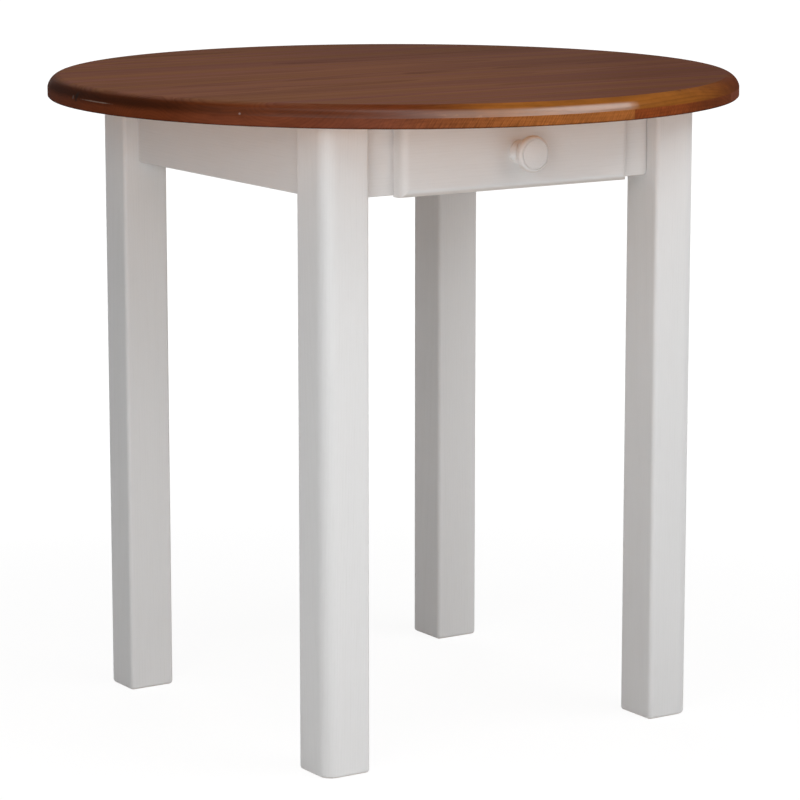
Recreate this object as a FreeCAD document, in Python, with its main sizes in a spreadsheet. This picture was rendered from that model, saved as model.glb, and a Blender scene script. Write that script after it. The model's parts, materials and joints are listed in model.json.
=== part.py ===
import FreeCAD, Part
import math
import os
import re
import Sketcher

# A round dining table with one drawer, in millimetres.
# The origin is on the floor under the middle of the top, +Z is up and the drawer opens towards -Y.

SIZES = {
    # Top
    "table_height": 750,
    "top_diameter": 800,
    "top_thickness": 25,
    "stave_count": 9,
    "rim_band": 11.5,
    "rim_round_width": 14,
    "rim_round_bulge": 3,
    "rim_lower_break": 1.5,
    # Legs
    "leg_size": 58,
    "leg_spacing": 445,
    "leg_outer_round": 16,
    "leg_arris_round": 4.5,
    "leg_corner_cut": 12,
    "foot_break": 4,
    # Aprons and the dowels that line them up with the legs
    "apron_height": 85,
    "apron_thickness": 20,
    "apron_corner_round": 5,
    "apron_arris_round": 1.6,
    "apron_end_gap": 0.3,
    "dowel_diameter": 8,
    "dowel_apron_depth": 22,
    "dowel_leg_depth": 15,
    "dowel_edge_distance": 13,
    # Corner blocks, and the bolts that draw the legs in
    "block_thickness": 22,
    "block_gap": 2,
    "block_leg_gap": 1.4,
    "block_screw_length": 22,
    "block_screw_seat": 6,
    "bolt_diameter": 8,
    "bolt_leg_depth": 40,
    "bolt_tip": 5,
    "bolt_tail": 4,
    "washer_diameter": 22,
    "washer_thickness": 1.6,
    "nut_width": 13,
    "nut_height": 6.5,
    # Battens and cleats under the top
    "batten_width": 40,
    "batten_end_gap": 1,
    "cleat_width": 20,
    "cleat_height": 22,
    "cleat_end_gap": 16,
    "top_screw_depth": 13,
    # Wood screws and the easing of every hole
    "screw_diameter": 4,
    "screw_head_diameter": 8,
    "screw_head_height": 2.4,
    "screw_tip": 4,
    "fit_gap": 0.1,
    "overrun": 5,
    # Drawer opening and runners
    "stub_width": 41.5,
    "front_overlap": 16,
    "rail_height": 14,
    "opening_gap": 3.7,
    "drawer_side_gap": 2,
    "runner_gap": 0.3,
    "kicker_gap": 2.7,
    "ledge_width": 22,
    "guide_gap": 1.5,
    "guide_thickness": 15,
    "guide_height": 16,
    "small_dowel_diameter": 6,
    "small_dowel_depth": 12,
    # Drawer
    "drawer_travel": 259,
    "drawer_back_gap": 65,
    "drawer_side_height": 52,
    "drawer_side_thickness": 12,
    "drawer_back_thickness": 12,
    "drawer_arris_round": 1.5,
    "bottom_thickness": 4,
    "bottom_raise": 8,
    "groove_depth": 6,
    "groove_gap": 0.2,
    "front_thickness": 20,
    "front_round": 9,
    "front_arris_round": 1,
    "front_gap": 0.6,
    "front_top_gap": 2.5,
    "front_drop": 1.5,
    "back_screw_length": 36,
    "pin_diameter": 1.8,
    "pin_length": 18,
    "stop_width": 20,
    "stop_drop": 8,
    "stop_gap": 0.5,
    "stop_end_gap": 12,
    # Knob
    "knob_diameter": 41,
    "knob_projection": 34,
    "knob_foot_diameter": 25,
    "knob_foot_height": 2.5,
    "knob_neck_diameter": 16,
    "knob_neck_height": 10,
    "knob_neck_sweep": 9,
    "knob_shoulder_diameter": 24,
    "knob_shoulder_height": 18,
    "knob_back_round": 10.8,
    "knob_widest": 28.5,
    "knob_rim_round": 4.5,
    "knob_face_margin": 3.3,
    "knob_face_rise": 1.2,
    "knob_ring_width": 1.4,
    "knob_ring_depth": 1,
    "knob_screw_diameter": 4,
    "knob_screw_depth": 14,
    "knob_screw_head_diameter": 8,
    "knob_screw_head_height": 2.6,
}

# Where a screw, dowel or pin stands along the piece that carries it.
BLOCK_SCREW_LEVEL_SHARES = (0.25, 0.7)
BATTEN_SCREW_SHARES = (-0.72, 0, 0.72)
CLEAT_SCREW_SHARES = (-0.6, 0.6)
BOTTOM_PIN_SHARES = (-0.6, 0, 0.6)
DRAWER_DOWEL_LEVEL_SHARES = (0.38, 0.8)
BACK_SCREW_LEVEL_SHARES = (0.25, 0.75)
GUIDE_DOWEL_LEVEL_SHARE = 0.4

# How much of its shank a tip keeps at its blunt end.
TIP_END_SHARE = 0.25

# Levels above the floor.
UNDERSIDE = "(table_height - top_thickness)"
APRON_LOW = f"({UNDERSIDE} - apron_height)"
RAIL_TOP = f"({APRON_LOW} + rail_height)"
DRAWER_LOW = f"({RAIL_TOP} + runner_gap)"
DRAWER_TOP = f"({DRAWER_LOW} + drawer_side_height)"
OPENING_TOP = f"({DRAWER_TOP} + opening_gap)"
BATTEN_LOW = f"({DRAWER_TOP} + kicker_gap)"
GUIDE_TOP = f"({RAIL_TOP} + guide_height)"
BLOCK_LOW = f"({GUIDE_TOP} + block_gap)"
BLOCK_HEIGHT = f"({UNDERSIDE} - {BLOCK_LOW})"
PANEL_LOW = f"({DRAWER_LOW} + bottom_raise)"
PANEL_TOP = f"({PANEL_LOW} + bottom_thickness)"
FRONT_LOW = f"({APRON_LOW} - front_drop)"
FRONT_HEIGHT = f"({UNDERSIDE} - front_top_gap - {FRONT_LOW})"
KNOB_LEVEL = f"({FRONT_LOW} + {FRONT_HEIGHT} / 2)"
LOW_DOWEL = f"({APRON_LOW} + dowel_edge_distance)"
HIGH_DOWEL = f"({UNDERSIDE} - dowel_edge_distance)"
BOLT_LEVEL = f"({BLOCK_LOW} + {BLOCK_HEIGHT} / 2)"

# Distances from the middle of the table, the same along X and Y.
LEG_CENTRE = "(leg_spacing / 2)"
LEG_INNER = f"({LEG_CENTRE} - leg_size / 2)"
LEG_OUTER = f"({LEG_CENTRE} + leg_size / 2)"
APRON_INNER = f"({LEG_CENTRE} - apron_thickness / 2)"
APRON_OUTER = f"({LEG_CENTRE} + apron_thickness / 2)"
APRON_END = f"({LEG_INNER} - apron_end_gap)"

# A corner block lies across a corner: these are x + y on the leg's flat and on the block's two long faces.
LEG_FLAT_SUM = f"(2 * {LEG_INNER} + leg_corner_cut)"
BLOCK_OUTER_SUM = f"({LEG_FLAT_SUM} - block_leg_gap * sqrt(2))"
BLOCK_INNER_SUM = f"({BLOCK_OUTER_SUM} - block_thickness * sqrt(2))"
BLOCK_FAR = f"({BLOCK_OUTER_SUM} - {APRON_INNER})"
BLOCK_NEAR = f"({BLOCK_INNER_SUM} - {APRON_INNER})"

# Across the drawer, from the middle outwards.
FRONT_HALF = f"({LEG_INNER} - stub_width)"
OPENING_HALF = f"({FRONT_HALF} - front_overlap)"
DRAWER_HALF = f"({OPENING_HALF} - drawer_side_gap)"
SIDE_INNER = f"({DRAWER_HALF} - drawer_side_thickness)"
SIDE_CENTRE = f"({DRAWER_HALF} - drawer_side_thickness / 2)"
GUIDE_INNER = f"({DRAWER_HALF} + guide_gap)"
LEDGE_INNER = f"({GUIDE_INNER} - ledge_width)"

# Along the drawer, as distances from the middle towards the front, and its rear end towards the back.
FRONT_BACK = f"({APRON_OUTER} + front_gap)"
FRONT_FACE = f"({FRONT_BACK} + front_thickness)"
DRAWER_END = f"({APRON_INNER} - drawer_back_gap)"

EAST = FreeCAD.Vector(1, 0, 0)
WEST = FreeCAD.Vector(-1, 0, 0)
NORTH = FreeCAD.Vector(0, 1, 0)
SOUTH = FreeCAD.Vector(0, -1, 0)
UP = FreeCAD.Vector(0, 0, 1)
DIAGONAL = FreeCAD.Vector(1, 1, 0)
CORNER_TURNS = {"back_right": 0, "back_left": 90, "front_left": 180, "front_right": 270}
APRON_TURNS = {"apron_back": 0, "apron_left": 90, "apron_front": 180, "apron_right": 270}

doc = FreeCAD.newDocument("round_table")
sheet = doc.addObject("Spreadsheet::Sheet", "Sizes")
nodes = []


def fill_sheet():
    """Write each driving size into the sheet, beside its name."""
    for row, (alias, value) in enumerate(SIZES.items(), start=1):
        sheet.set(f"A{row}", alias)
        sheet.set(f"B{row}", str(value))
        sheet.setAlias(f"B{row}", alias)
    doc.recompute()


def formula(text):
    """Point each size named in a formula at its cell in the sheet."""
    return re.sub(r"[a-z_]+", lambda word: f"Sizes.{word[0]}" if word[0] in SIZES else word[0], text)


def measure(text):
    """The value that a formula has now."""
    return float(sheet.evalExpression(formula(text)))


def bind(item, **formulas):
    """Tie an object's properties to formulas."""
    for name, text in formulas.items():
        item.setExpression(name, formula(text))
    return item


def place(item, x="0", y="0", z="0", turn=None):
    """Tie an object's position to formulas, with a fixed turn."""
    if turn is not None:
        item.Placement = FreeCAD.Placement(FreeCAD.Vector(), turn)
    for axis, text in (("x", x), ("y", y), ("z", z)):
        item.setExpression(f"Placement.Base.{axis}", formula(text))
    return item


def about_z(degrees):
    """A turn about the upright axis through the middle of the table."""
    return FreeCAD.Rotation(UP, degrees)


def towards(direction):
    """The turn that lays an upright piece along a direction."""
    return FreeCAD.Rotation(UP, direction)


def node(name, item):
    """Name an object as a piece of the table."""
    item.Label = name
    nodes.append(item)
    return item


def block(name, length, width, height):
    """A rectangular block with a corner at its own origin."""
    return bind(doc.addObject("Part::Box", name), Length=length, Width=width, Height=height)


def rod(name, diameter, length):
    """A round rod that stands on its own origin."""
    return bind(doc.addObject("Part::Cylinder", name), Radius=f"{diameter} / 2", Height=length)


def taper(name, lower, upper, height):
    """A round taper that stands on its own origin."""
    cone = doc.addObject("Part::Cone", name)
    return bind(cone, Radius1=f"{lower} / 2", Radius2=f"{upper} / 2", Height=height)


def together(name, members):
    """Several solids as one group."""
    group = doc.addObject("Part::Compound", name)
    group.Links = members
    return group


def joined(name, members):
    """Several overlapping solids fused into one."""
    fusion = doc.addObject("Part::MultiFuse", name)
    fusion.Shapes = members
    return fusion


def cut(name, base, tools):
    """A base with every tool cut out of it."""
    result = doc.addObject("Part::Cut", name)
    result.Base = base
    result.Tool = tools[0] if len(tools) == 1 else joined(f"{name}_tools", tools)
    return result


def mirrored(name, source):
    """The left-hand twin of a right-hand piece."""
    twin = doc.addObject("Part::Mirroring", name)
    twin.Source = source
    twin.Normal = EAST
    return twin


def outline(body, name, plane, corners):
    """A closed outline, anticlockwise, in one of the body's own planes.

    A corner is (across, up). Where an arc leads on to the next corner it is (across, up, radius, bend),
    with a bend of 1 for an arc that turns to the left and -1 for one that turns to the right.
    """
    sketch = body.newObject("Sketcher::SketchObject", name)
    origin_plane = next(item for item in body.Origin.OriginFeatures if item.Role == plane)
    sketch.AttachmentSupport = [(origin_plane, "")]
    sketch.MapMode = "FlatFace"
    points = [FreeCAD.Vector(measure(corner[0]), measure(corner[1]), 0) for corner in corners]
    ends = []
    for here, there, corner in zip(points, points[1:] + points[:1], corners):
        if len(corner) == 2:
            sketch.addGeometry(Part.LineSegment(here, there))
            ends.append((1, 2))
            continue
        radius = measure(corner[2])
        bend = corner[3]
        chord = there - here
        rise = math.sqrt(max(radius ** 2 - (chord.Length / 2) ** 2, 0))
        middle = (here + there) / 2
        centre = middle + FreeCAD.Vector(-chord.y, chord.x, 0).normalize() * rise * bend
        first, last = (here, there) if bend == 1 else (there, here)
        start = math.atan2(first.y - centre.y, first.x - centre.x)
        finish = math.atan2(last.y - centre.y, last.x - centre.x)
        if finish < start:
            finish += 2 * math.pi
        sketch.addGeometry(Part.ArcOfCircle(Part.Circle(centre, UP, radius), start, finish))
        ends.append((1, 2) if bend == 1 else (2, 1))
    for index in range(len(corners)):
        following = (index + 1) % len(corners)
        joint = (index, ends[index][1], following, ends[following][0])
        sketch.addConstraint(Sketcher.Constraint("Coincident", *joint))
    for index, corner in enumerate(corners):
        point = (index, ends[index][0])
        for kind, axis, text in (("DistanceX", -2, corner[0]), ("DistanceY", -1, corner[1])):
            if text == "0":
                sketch.addConstraint(Sketcher.Constraint("PointOnObject", *point, axis))
            else:
                dimension(sketch, Sketcher.Constraint(kind, -1, 1, *point, measure(text)), text)
        if len(corner) > 2:
            dimension(sketch, Sketcher.Constraint("Radius", index, measure(corner[2])), corner[2])
    return sketch


def dimension(sketch, constraint, text):
    """Add a dimension to a sketch and tie it to a formula."""
    number = sketch.addConstraint(constraint)
    name = f"size_{number}"
    sketch.renameConstraint(number, name)
    sketch.setExpression(f"Constraints.{name}", formula(text))


def rectangle(width, height):
    """The corners of a rectangle that stands on the origin."""
    return [("0", "0"), (width, "0"), (width, height), ("0", height)]


def padded(name, plane, corners, length, midplane=False):
    """A body whose outline is padded to a length, on both sides of its plane where midplane is set."""
    body = doc.addObject("PartDesign::Body", name)
    sketch = outline(body, f"{name}_outline", plane, corners)
    pad = body.newObject("PartDesign::Pad", f"{name}_pad")
    pad.Profile = sketch
    pad.Midplane = midplane
    bind(pad, Length=length)
    doc.recompute()
    return body


def turned(name, plane, corners):
    """A body whose outline is turned about its plane's upright axis."""
    body = doc.addObject("PartDesign::Body", name)
    sketch = outline(body, f"{name}_outline", plane, corners)
    revolution = body.newObject("PartDesign::Revolution", f"{name}_turning")
    revolution.Profile = sketch
    revolution.ReferenceAxis = (sketch, ["V_Axis"])
    doc.recompute()
    return body


def rounded(body, name, radius, chosen):
    """Round the body's edges whose middle point is chosen."""
    tip = body.Tip
    names = []
    for number, edge in enumerate(tip.Shape.Edges, start=1):
        middle = edge.valueAt((edge.FirstParameter + edge.LastParameter) / 2)
        if chosen(middle):
            names.append(f"Edge{number}")
    fillet = body.newObject("PartDesign::Fillet", name)
    fillet.Base = (tip, names)
    bind(fillet, Radius=radius)
    doc.recompute()
    return body


def near(value, text):
    """Whether a coordinate lies at a formula's value."""
    return math.isclose(value, measure(text), abs_tol=measure("fit_gap"))


def screw_form(name, length, ease="0", well=None):
    """A countersunk wood screw along +Z, its head's flat face at the origin.

    With an ease it is the hole for that screw, and a well is the depth of the clear hole behind the head.
    """
    shank = f"screw_diameter + 2 * {ease}"
    head = f"screw_head_diameter + 2 * {ease}"
    sink = taper(f"{name}_head", f"({head})", f"({shank})", "screw_head_height")
    body = place(rod(f"{name}_shank", f"({shank})", f"{length} - screw_tip - screw_head_height / 2"),
                 z="screw_head_height / 2")
    point = taper(f"{name}_tip", f"({shank})", f"{TIP_END_SHARE} * screw_diameter", f"screw_tip + {ease}")
    place(point, z=f"{length} - screw_tip")
    members = [sink, body, point]
    if well is not None:
        members.append(place(rod(f"{name}_well", f"({head})", well), z=f"-({well})"))
    return joined(name, members)


def four_corners(name, make):
    """What make(prefix) builds at the back right corner, at all four corners."""
    groups = []
    for corner, turn in CORNER_TURNS.items():
        group = together(f"{name}_{corner}", make(f"{name}_{corner}"))
        groups.append(place(group, turn=about_z(turn)))
    return together(name, groups)


def apron_dowels(prefix, ease="0"):
    """The dowels between the back right leg and the two aprons that meet it, or their holes."""
    dowels = []
    start = f"{LEG_INNER} - dowel_apron_depth - {ease}"
    length = f"dowel_apron_depth + dowel_leg_depth + 2 * {ease}"
    for height in (LOW_DOWEL, HIGH_DOWEL):
        for side, direction in (("x", EAST), ("y", NORTH)):
            dowel = rod(f"{prefix}_{side}", f"(dowel_diameter + 2 * {ease})", length)
            at = (start, LEG_CENTRE) if side == "x" else (LEG_CENTRE, start)
            dowels.append(place(dowel, *at, height, towards(direction)))
    return dowels


def apron_end_holes(prefix):
    """The holes for the dowels in both ends of the back apron."""
    holes = []
    for height in (LOW_DOWEL, HIGH_DOWEL):
        for side, direction in (("", EAST), ("-", WEST)):
            hole = rod(f"{prefix}_hole", "(dowel_diameter + 2 * fit_gap)", "dowel_apron_depth + overrun")
            start = f"{side}({LEG_INNER} - dowel_apron_depth - fit_gap)"
            holes.append(place(hole, start, LEG_CENTRE, height, towards(direction)))
    return holes


def block_screws(prefix, ease="0", well=None, sides=("x", "y")):
    """The screws from the back right corner block into the aprons beside it, or their holes."""
    screws = []
    across = f"({BLOCK_NEAR} + {BLOCK_FAR}) / 2"
    head = f"{APRON_INNER} - block_screw_seat - screw_head_height"
    for share in BLOCK_SCREW_LEVEL_SHARES:
        height = f"{BLOCK_LOW} + {share} * ({HIGH_DOWEL} - {BLOCK_LOW})"
        for side in sides:
            screw = screw_form(f"{prefix}_screw", "block_screw_length", ease, well)
            at = (head, across) if side == "x" else (across, head)
            screws.append(place(screw, *at, height, towards(EAST if side == "x" else NORTH)))
    return screws


def runner_dowels(prefix, ends, ease="0"):
    """The dowels in the ends of both runners, or the holes for them."""
    dowels = []
    guide_level = f"{RAIL_TOP} + {GUIDE_DOWEL_LEVEL_SHARE} * guide_height"
    guide = (f"({GUIDE_INNER} + guide_thickness / 2)", guide_level)
    ledge = (f"({LEDGE_INNER} + ledge_width / 2)", f"{RAIL_TOP} - rail_height / 2")
    for end, direction in ends:
        for side in ("", "-"):
            for across, height in (guide, ledge):
                dowel = rod(f"{prefix}_dowel", f"(small_dowel_diameter + 2 * {ease})",
                            f"2 * small_dowel_depth + 2 * {ease}")
                start = f"{end}({APRON_INNER} - small_dowel_depth - {ease})"
                dowels.append(place(dowel, f"{side}{across}", start, height, towards(direction)))
    return dowels


BOTH_ENDS = (("", NORTH), ("-", SOUTH))
BACK_END = (("", NORTH),)


def batten_screws(prefix, ease="0", well=None):
    """The screws from both battens up into the top, or their holes."""
    screws = []
    length = f"({UNDERSIDE} - {BATTEN_LOW} + top_screw_depth)"
    for side in ("", "-"):
        for share in BATTEN_SCREW_SHARES:
            screw = screw_form(f"{prefix}_screw", length, ease, well)
            across = f"{side}({DRAWER_HALF} - batten_width / 2)"
            screws.append(place(screw, across, f"{share} * {APRON_INNER}", BATTEN_LOW))
    return screws


SIDE_CLEAT_HALF = f"({BLOCK_NEAR} - cleat_end_gap)"
BACK_CLEAT_HALF = f"({DRAWER_HALF} - batten_width - cleat_end_gap)"
CLEAT_LINE = f"({APRON_INNER} - cleat_width / 2)"


def cleat_screws(prefix, ease="0", well=None):
    """The screws from the three cleats up into the top, or their holes."""
    screws = []
    for share in CLEAT_SCREW_SHARES:
        places = (
            (f"-{CLEAT_LINE}", f"{share} * {SIDE_CLEAT_HALF}"),
            (CLEAT_LINE, f"{share} * {SIDE_CLEAT_HALF}"),
            (f"{share} * {BACK_CLEAT_HALF}", CLEAT_LINE),
        )
        for x, y in places:
            screw = screw_form(f"{prefix}_screw", "(cleat_height + top_screw_depth)", ease, well)
            screws.append(place(screw, x, y, f"{UNDERSIDE} - cleat_height"))
    return screws


def make_top():
    """The round top, glued up from staves that run along X, with pilot holes underneath."""
    drop = "(top_thickness - rim_band)"
    rim_radius = f"((rim_round_width ^ 2 + {drop} ^ 2) / (8 * rim_round_bulge) + rim_round_bulge / 2)"
    radius = "top_diameter / 2"
    profile = [
        ("0", UNDERSIDE),
        (f"{radius} - rim_lower_break", UNDERSIDE),
        (radius, f"{UNDERSIDE} + rim_lower_break"),
        (radius, f"{UNDERSIDE} + rim_band", rim_radius, 1),
        (f"{radius} - rim_round_width", "table_height"),
        ("0", "table_height"),
    ]
    disc = turned("top_disc", "XZ_Plane", profile)
    pilots = batten_screws("top_batten_pilot", "fit_gap") + cleat_screws("top_cleat_pilot", "fit_gap")
    drilled = cut("drilled_top", disc, pilots)
    for number in range(int(measure("stave_count"))):
        strip = block(f"strip_{number}", "top_diameter", "top_diameter / stave_count", "top_thickness")
        place(strip, f"-{radius}", f"{number} * top_diameter / stave_count - {radius}", UNDERSIDE)
        stave = doc.addObject("Part::Common", f"stave_{number}")
        stave.Base = drilled
        stave.Tool = strip
        node(f"top_stave_{number + 1}", stave)


def make_legs():
    """Four legs: a large round on the outer corner, a flat across the inner one, and drilled joints."""
    low, high = LEG_INNER, LEG_OUTER
    arris, outer = "leg_arris_round", "leg_outer_round"
    plan = [
        (f"{low} + {arris}", low),
        (f"{high} - {arris}", low, arris, 1),
        (high, f"{low} + {arris}"),
        (high, f"{high} - {outer}", outer, 1),
        (f"{high} - {outer}", high),
        (f"{low} + {arris}", high, arris, 1),
        (low, f"{high} - {arris}"),
        (low, f"{low} + {arris}", arris, 1),
    ]
    leg = padded("leg_stock", "XY_Plane", plan, UNDERSIDE)
    rounded(leg, "foot_rounding", "foot_break", lambda middle: near(middle.z, "0"))
    reach = "leg_corner_cut"
    flat = block("leg_flat_tool", f"2 * {reach}", f"4 * {reach}", "apron_height + overrun")
    place(flat, f"{LEG_FLAT_SUM} / 2", f"{LEG_FLAT_SUM} / 2 - 2 * {reach} * sqrt(2)", APRON_LOW, about_z(45))
    bolt_hole = rod("leg_bolt_hole", "(bolt_diameter + 2 * fit_gap)", "bolt_leg_depth + overrun + fit_gap")
    start = f"{LEG_FLAT_SUM} / 2 - overrun / sqrt(2)"
    place(bolt_hole, start, start, BOLT_LEVEL, towards(DIAGONAL))
    tools = joined("leg_tools", apron_dowels("leg_dowel_hole", "fit_gap") + [flat, bolt_hole])
    for corner, turn in CORNER_TURNS.items():
        node(f"leg_{corner}", place(cut(f"leg_{corner}_cut", leg, [tools]), turn=about_z(turn)))


def make_aprons():
    """Four aprons, softened along their ends and lower edges. The front one has the drawer opening."""
    length = f"(2 * {APRON_END})"
    corner = "apron_corner_round"
    face = [
        (corner, "0"),
        (f"{length} - {corner}", "0", corner, 1),
        (length, corner),
        (length, "apron_height"),
        ("0", "apron_height"),
        ("0", corner, corner, 1),
    ]
    apron = padded("apron_stock", "XZ_Plane", face, "apron_thickness", midplane=True)
    rounded(apron, "apron_rounding", "apron_arris_round",
            lambda middle: near(abs(middle.y), "apron_thickness / 2") and
            not near(middle.z, "apron_height"))
    place(apron, f"-{APRON_END}", LEG_CENTRE, APRON_LOW)
    opening = block("drawer_opening", f"2 * {OPENING_HALF}", "apron_thickness + 2 * overrun",
                    f"{OPENING_TOP} - {RAIL_TOP}")
    place(opening, f"-{OPENING_HALF}", f"{APRON_INNER} - overrun", RAIL_TOP)
    for name, turn in APRON_TURNS.items():
        tools = apron_end_holes(name)
        tools += block_screws(f"{name}_right", "fit_gap", sides=("y",))
        for screw in block_screws(f"{name}_left", "fit_gap", sides=("y",)):
            tools.append(mirrored(f"{name}_left_hole", screw))
        if name in ("apron_front", "apron_back"):
            tools += runner_dowels(f"{name}_runner", BACK_END, "fit_gap")
        if name == "apron_front":
            tools.append(opening)
        node(name, place(cut(f"{name}_cut", apron, tools), turn=about_z(turn)))


def make_corner_blocks():
    """Four blocks across the corners, each screwed to two aprons and bored for the leg's bolt."""
    plan = [
        (BLOCK_NEAR, APRON_INNER),
        (APRON_INNER, BLOCK_NEAR),
        (APRON_INNER, BLOCK_FAR),
        (BLOCK_FAR, APRON_INNER),
    ]
    stock = padded("corner_block_stock", "XY_Plane", plan, BLOCK_HEIGHT)
    place(stock, z=BLOCK_LOW)
    bolt_hole = rod("block_bolt_hole", "(bolt_diameter + 2 * fit_gap)", "block_thickness + 2 * overrun")
    start = f"{BLOCK_INNER_SUM} / 2 - overrun / sqrt(2)"
    place(bolt_hole, start, start, BOLT_LEVEL, towards(DIAGONAL))
    screws = block_screws("block_screw_hole", "fit_gap", "block_thickness")
    tools = joined("block_tools", screws + [bolt_hole])
    for corner, turn in CORNER_TURNS.items():
        cut_block = cut(f"corner_block_{corner}_cut", stock, [tools])
        node(f"corner_block_{corner}", place(cut_block, turn=about_z(turn)))


def along_diagonal(item, distance):
    """Lay a piece outwards along a corner's diagonal, starting a distance inside the block's inner face."""
    start = f"{BLOCK_INNER_SUM} / 2 - ({distance}) / sqrt(2)"
    return place(item, start, start, BOLT_LEVEL, towards(DIAGONAL))


def make_bolts():
    """A hanger bolt, a washer and a nut at each corner."""
    tail = "washer_thickness + nut_height + bolt_tail"
    length = f"{tail} + block_thickness + block_leg_gap + bolt_leg_depth"

    def bolt(prefix):
        shank = rod(f"{prefix}_shank", "bolt_diameter", f"{length} - bolt_tip")
        point = place(taper(f"{prefix}_tip", "bolt_diameter", f"{TIP_END_SHARE} * bolt_diameter", "bolt_tip"),
                      z=f"{length} - bolt_tip")
        return [along_diagonal(joined(f"{prefix}_bolt", [shank, point]), tail)]

    def washer(prefix):
        disc = rod(f"{prefix}_disc", "washer_diameter", "washer_thickness")
        hole = rod(f"{prefix}_hole", "(bolt_diameter + 2 * fit_gap)", "washer_thickness")
        return [along_diagonal(cut(f"{prefix}_washer", disc, [hole]), "washer_thickness")]

    def nut(prefix):
        hexagon = doc.addObject("Part::Prism", f"{prefix}_hexagon")
        hexagon.Polygon = 6
        bind(hexagon, Circumradius="nut_width / sqrt(3)", Height="nut_height")
        hole = rod(f"{prefix}_hole", "(bolt_diameter + 2 * fit_gap)", "nut_height")
        return [along_diagonal(cut(f"{prefix}_nut", hexagon, [hole]), "washer_thickness + nut_height")]

    node("hanger_bolts", four_corners("bolts", bolt))
    node("bolt_washers", four_corners("washers", washer))
    node("bolt_nuts", four_corners("nuts", nut))


def make_frame_fasteners():
    """The dowels of the legs and the screws of the corner blocks."""
    node("apron_dowels", four_corners("frame_dowels", apron_dowels))
    node("corner_block_screws", four_corners("frame_screws", block_screws))


def make_battens_and_cleats():
    """Two battens that hold the staves flat over the drawer, three cleats on the aprons, and their screws."""
    length = f"(2 * ({APRON_INNER} - batten_end_gap))"
    batten = block("batten_stock", "batten_width", length, f"{UNDERSIDE} - {BATTEN_LOW}")
    place(batten, f"{DRAWER_HALF} - batten_width", f"-{length} / 2", BATTEN_LOW)
    drilled = cut("batten_drilled", batten, batten_screws("batten_hole", "fit_gap", "overrun"))
    node("cross_batten_right", drilled)
    node("cross_batten_left", mirrored("batten_left", drilled))
    holes = joined("cleat_holes", cleat_screws("cleat_hole", "fit_gap", "overrun"))
    level = f"{UNDERSIDE} - cleat_height"
    side = block("side_cleat_stock", "cleat_width", f"2 * {SIDE_CLEAT_HALF}", "cleat_height")
    place(side, f"{APRON_INNER} - cleat_width", f"-{SIDE_CLEAT_HALF}", level)
    back = block("back_cleat_stock", f"2 * {BACK_CLEAT_HALF}", "cleat_width", "cleat_height")
    place(back, f"-{BACK_CLEAT_HALF}", f"{APRON_INNER} - cleat_width", level)
    right_cleat = node("cleat_right", cut("right_cleat", side, [holes]))
    node("cleat_left", mirrored("left_cleat", right_cleat))
    node("cleat_back", cut("back_cleat", back, [holes]))
    node("batten_screws", together("batten_screw_group", batten_screws("batten_screw")))
    node("cleat_screws", together("cleat_screw_group", cleat_screws("cleat_screw")))


def make_runners():
    """Two runners of L section: a ledge under each drawer side and a guide beside it."""
    outer = f"{GUIDE_INNER} + guide_thickness"
    section = [
        (LEDGE_INNER, APRON_LOW),
        (outer, APRON_LOW),
        (outer, GUIDE_TOP),
        (GUIDE_INNER, GUIDE_TOP),
        (GUIDE_INNER, RAIL_TOP),
        (LEDGE_INNER, RAIL_TOP),
    ]
    stock = padded("runner_stock", "XZ_Plane", section, f"2 * {APRON_INNER}", midplane=True)
    holes = runner_dowels("runner_hole", BOTH_ENDS, "fit_gap")
    right = node("drawer_runner_right", cut("runner_right", stock, holes))
    node("drawer_runner_left", mirrored("runner_left", right))
    node("runner_dowels", together("runner_dowel_group", runner_dowels("runner", BOTH_ENDS)))


def drawer_dowels(prefix, ease="0"):
    """The dowels between the drawer sides and the drawer front, or their holes."""
    dowels = []
    for side in ("", "-"):
        for share in DRAWER_DOWEL_LEVEL_SHARES:
            dowel = rod(f"{prefix}_dowel", f"(small_dowel_diameter + 2 * {ease})",
                        f"2 * small_dowel_depth + 2 * {ease}")
            start = f"-{FRONT_BACK} + small_dowel_depth + {ease}"
            height = f"{DRAWER_LOW} + {share} * drawer_side_height"
            dowels.append(place(dowel, f"{side}{SIDE_CENTRE}", start, height, towards(SOUTH)))
    return dowels


def back_screws(prefix, ease="0", well=None):
    """The screws through the drawer sides into the ends of the drawer back, or their holes."""
    screws = []
    for side, direction in (("", WEST), ("-", EAST)):
        for share in BACK_SCREW_LEVEL_SHARES:
            screw = screw_form(f"{prefix}_screw", "back_screw_length", ease, well)
            height = f"{PANEL_TOP} + {share} * ({DRAWER_TOP} - {PANEL_TOP})"
            at = (f"{side}{DRAWER_HALF}", f"{DRAWER_END} - drawer_back_thickness / 2", height)
            screws.append(place(screw, *at, towards(direction)))
    return screws


def bottom_pins(prefix, ease="0"):
    """The pins up through the bottom panel into the drawer back, or their holes."""
    pins = []
    line = f"{DRAWER_END} - drawer_back_thickness / 2"
    for share in BOTTOM_PIN_SHARES:
        pin = rod(f"{prefix}_pin", f"(pin_diameter + 2 * {ease})", f"pin_length + {ease}")
        pins.append(place(pin, f"{share} * {SIDE_INNER}", line, PANEL_LOW))
    return pins


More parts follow.
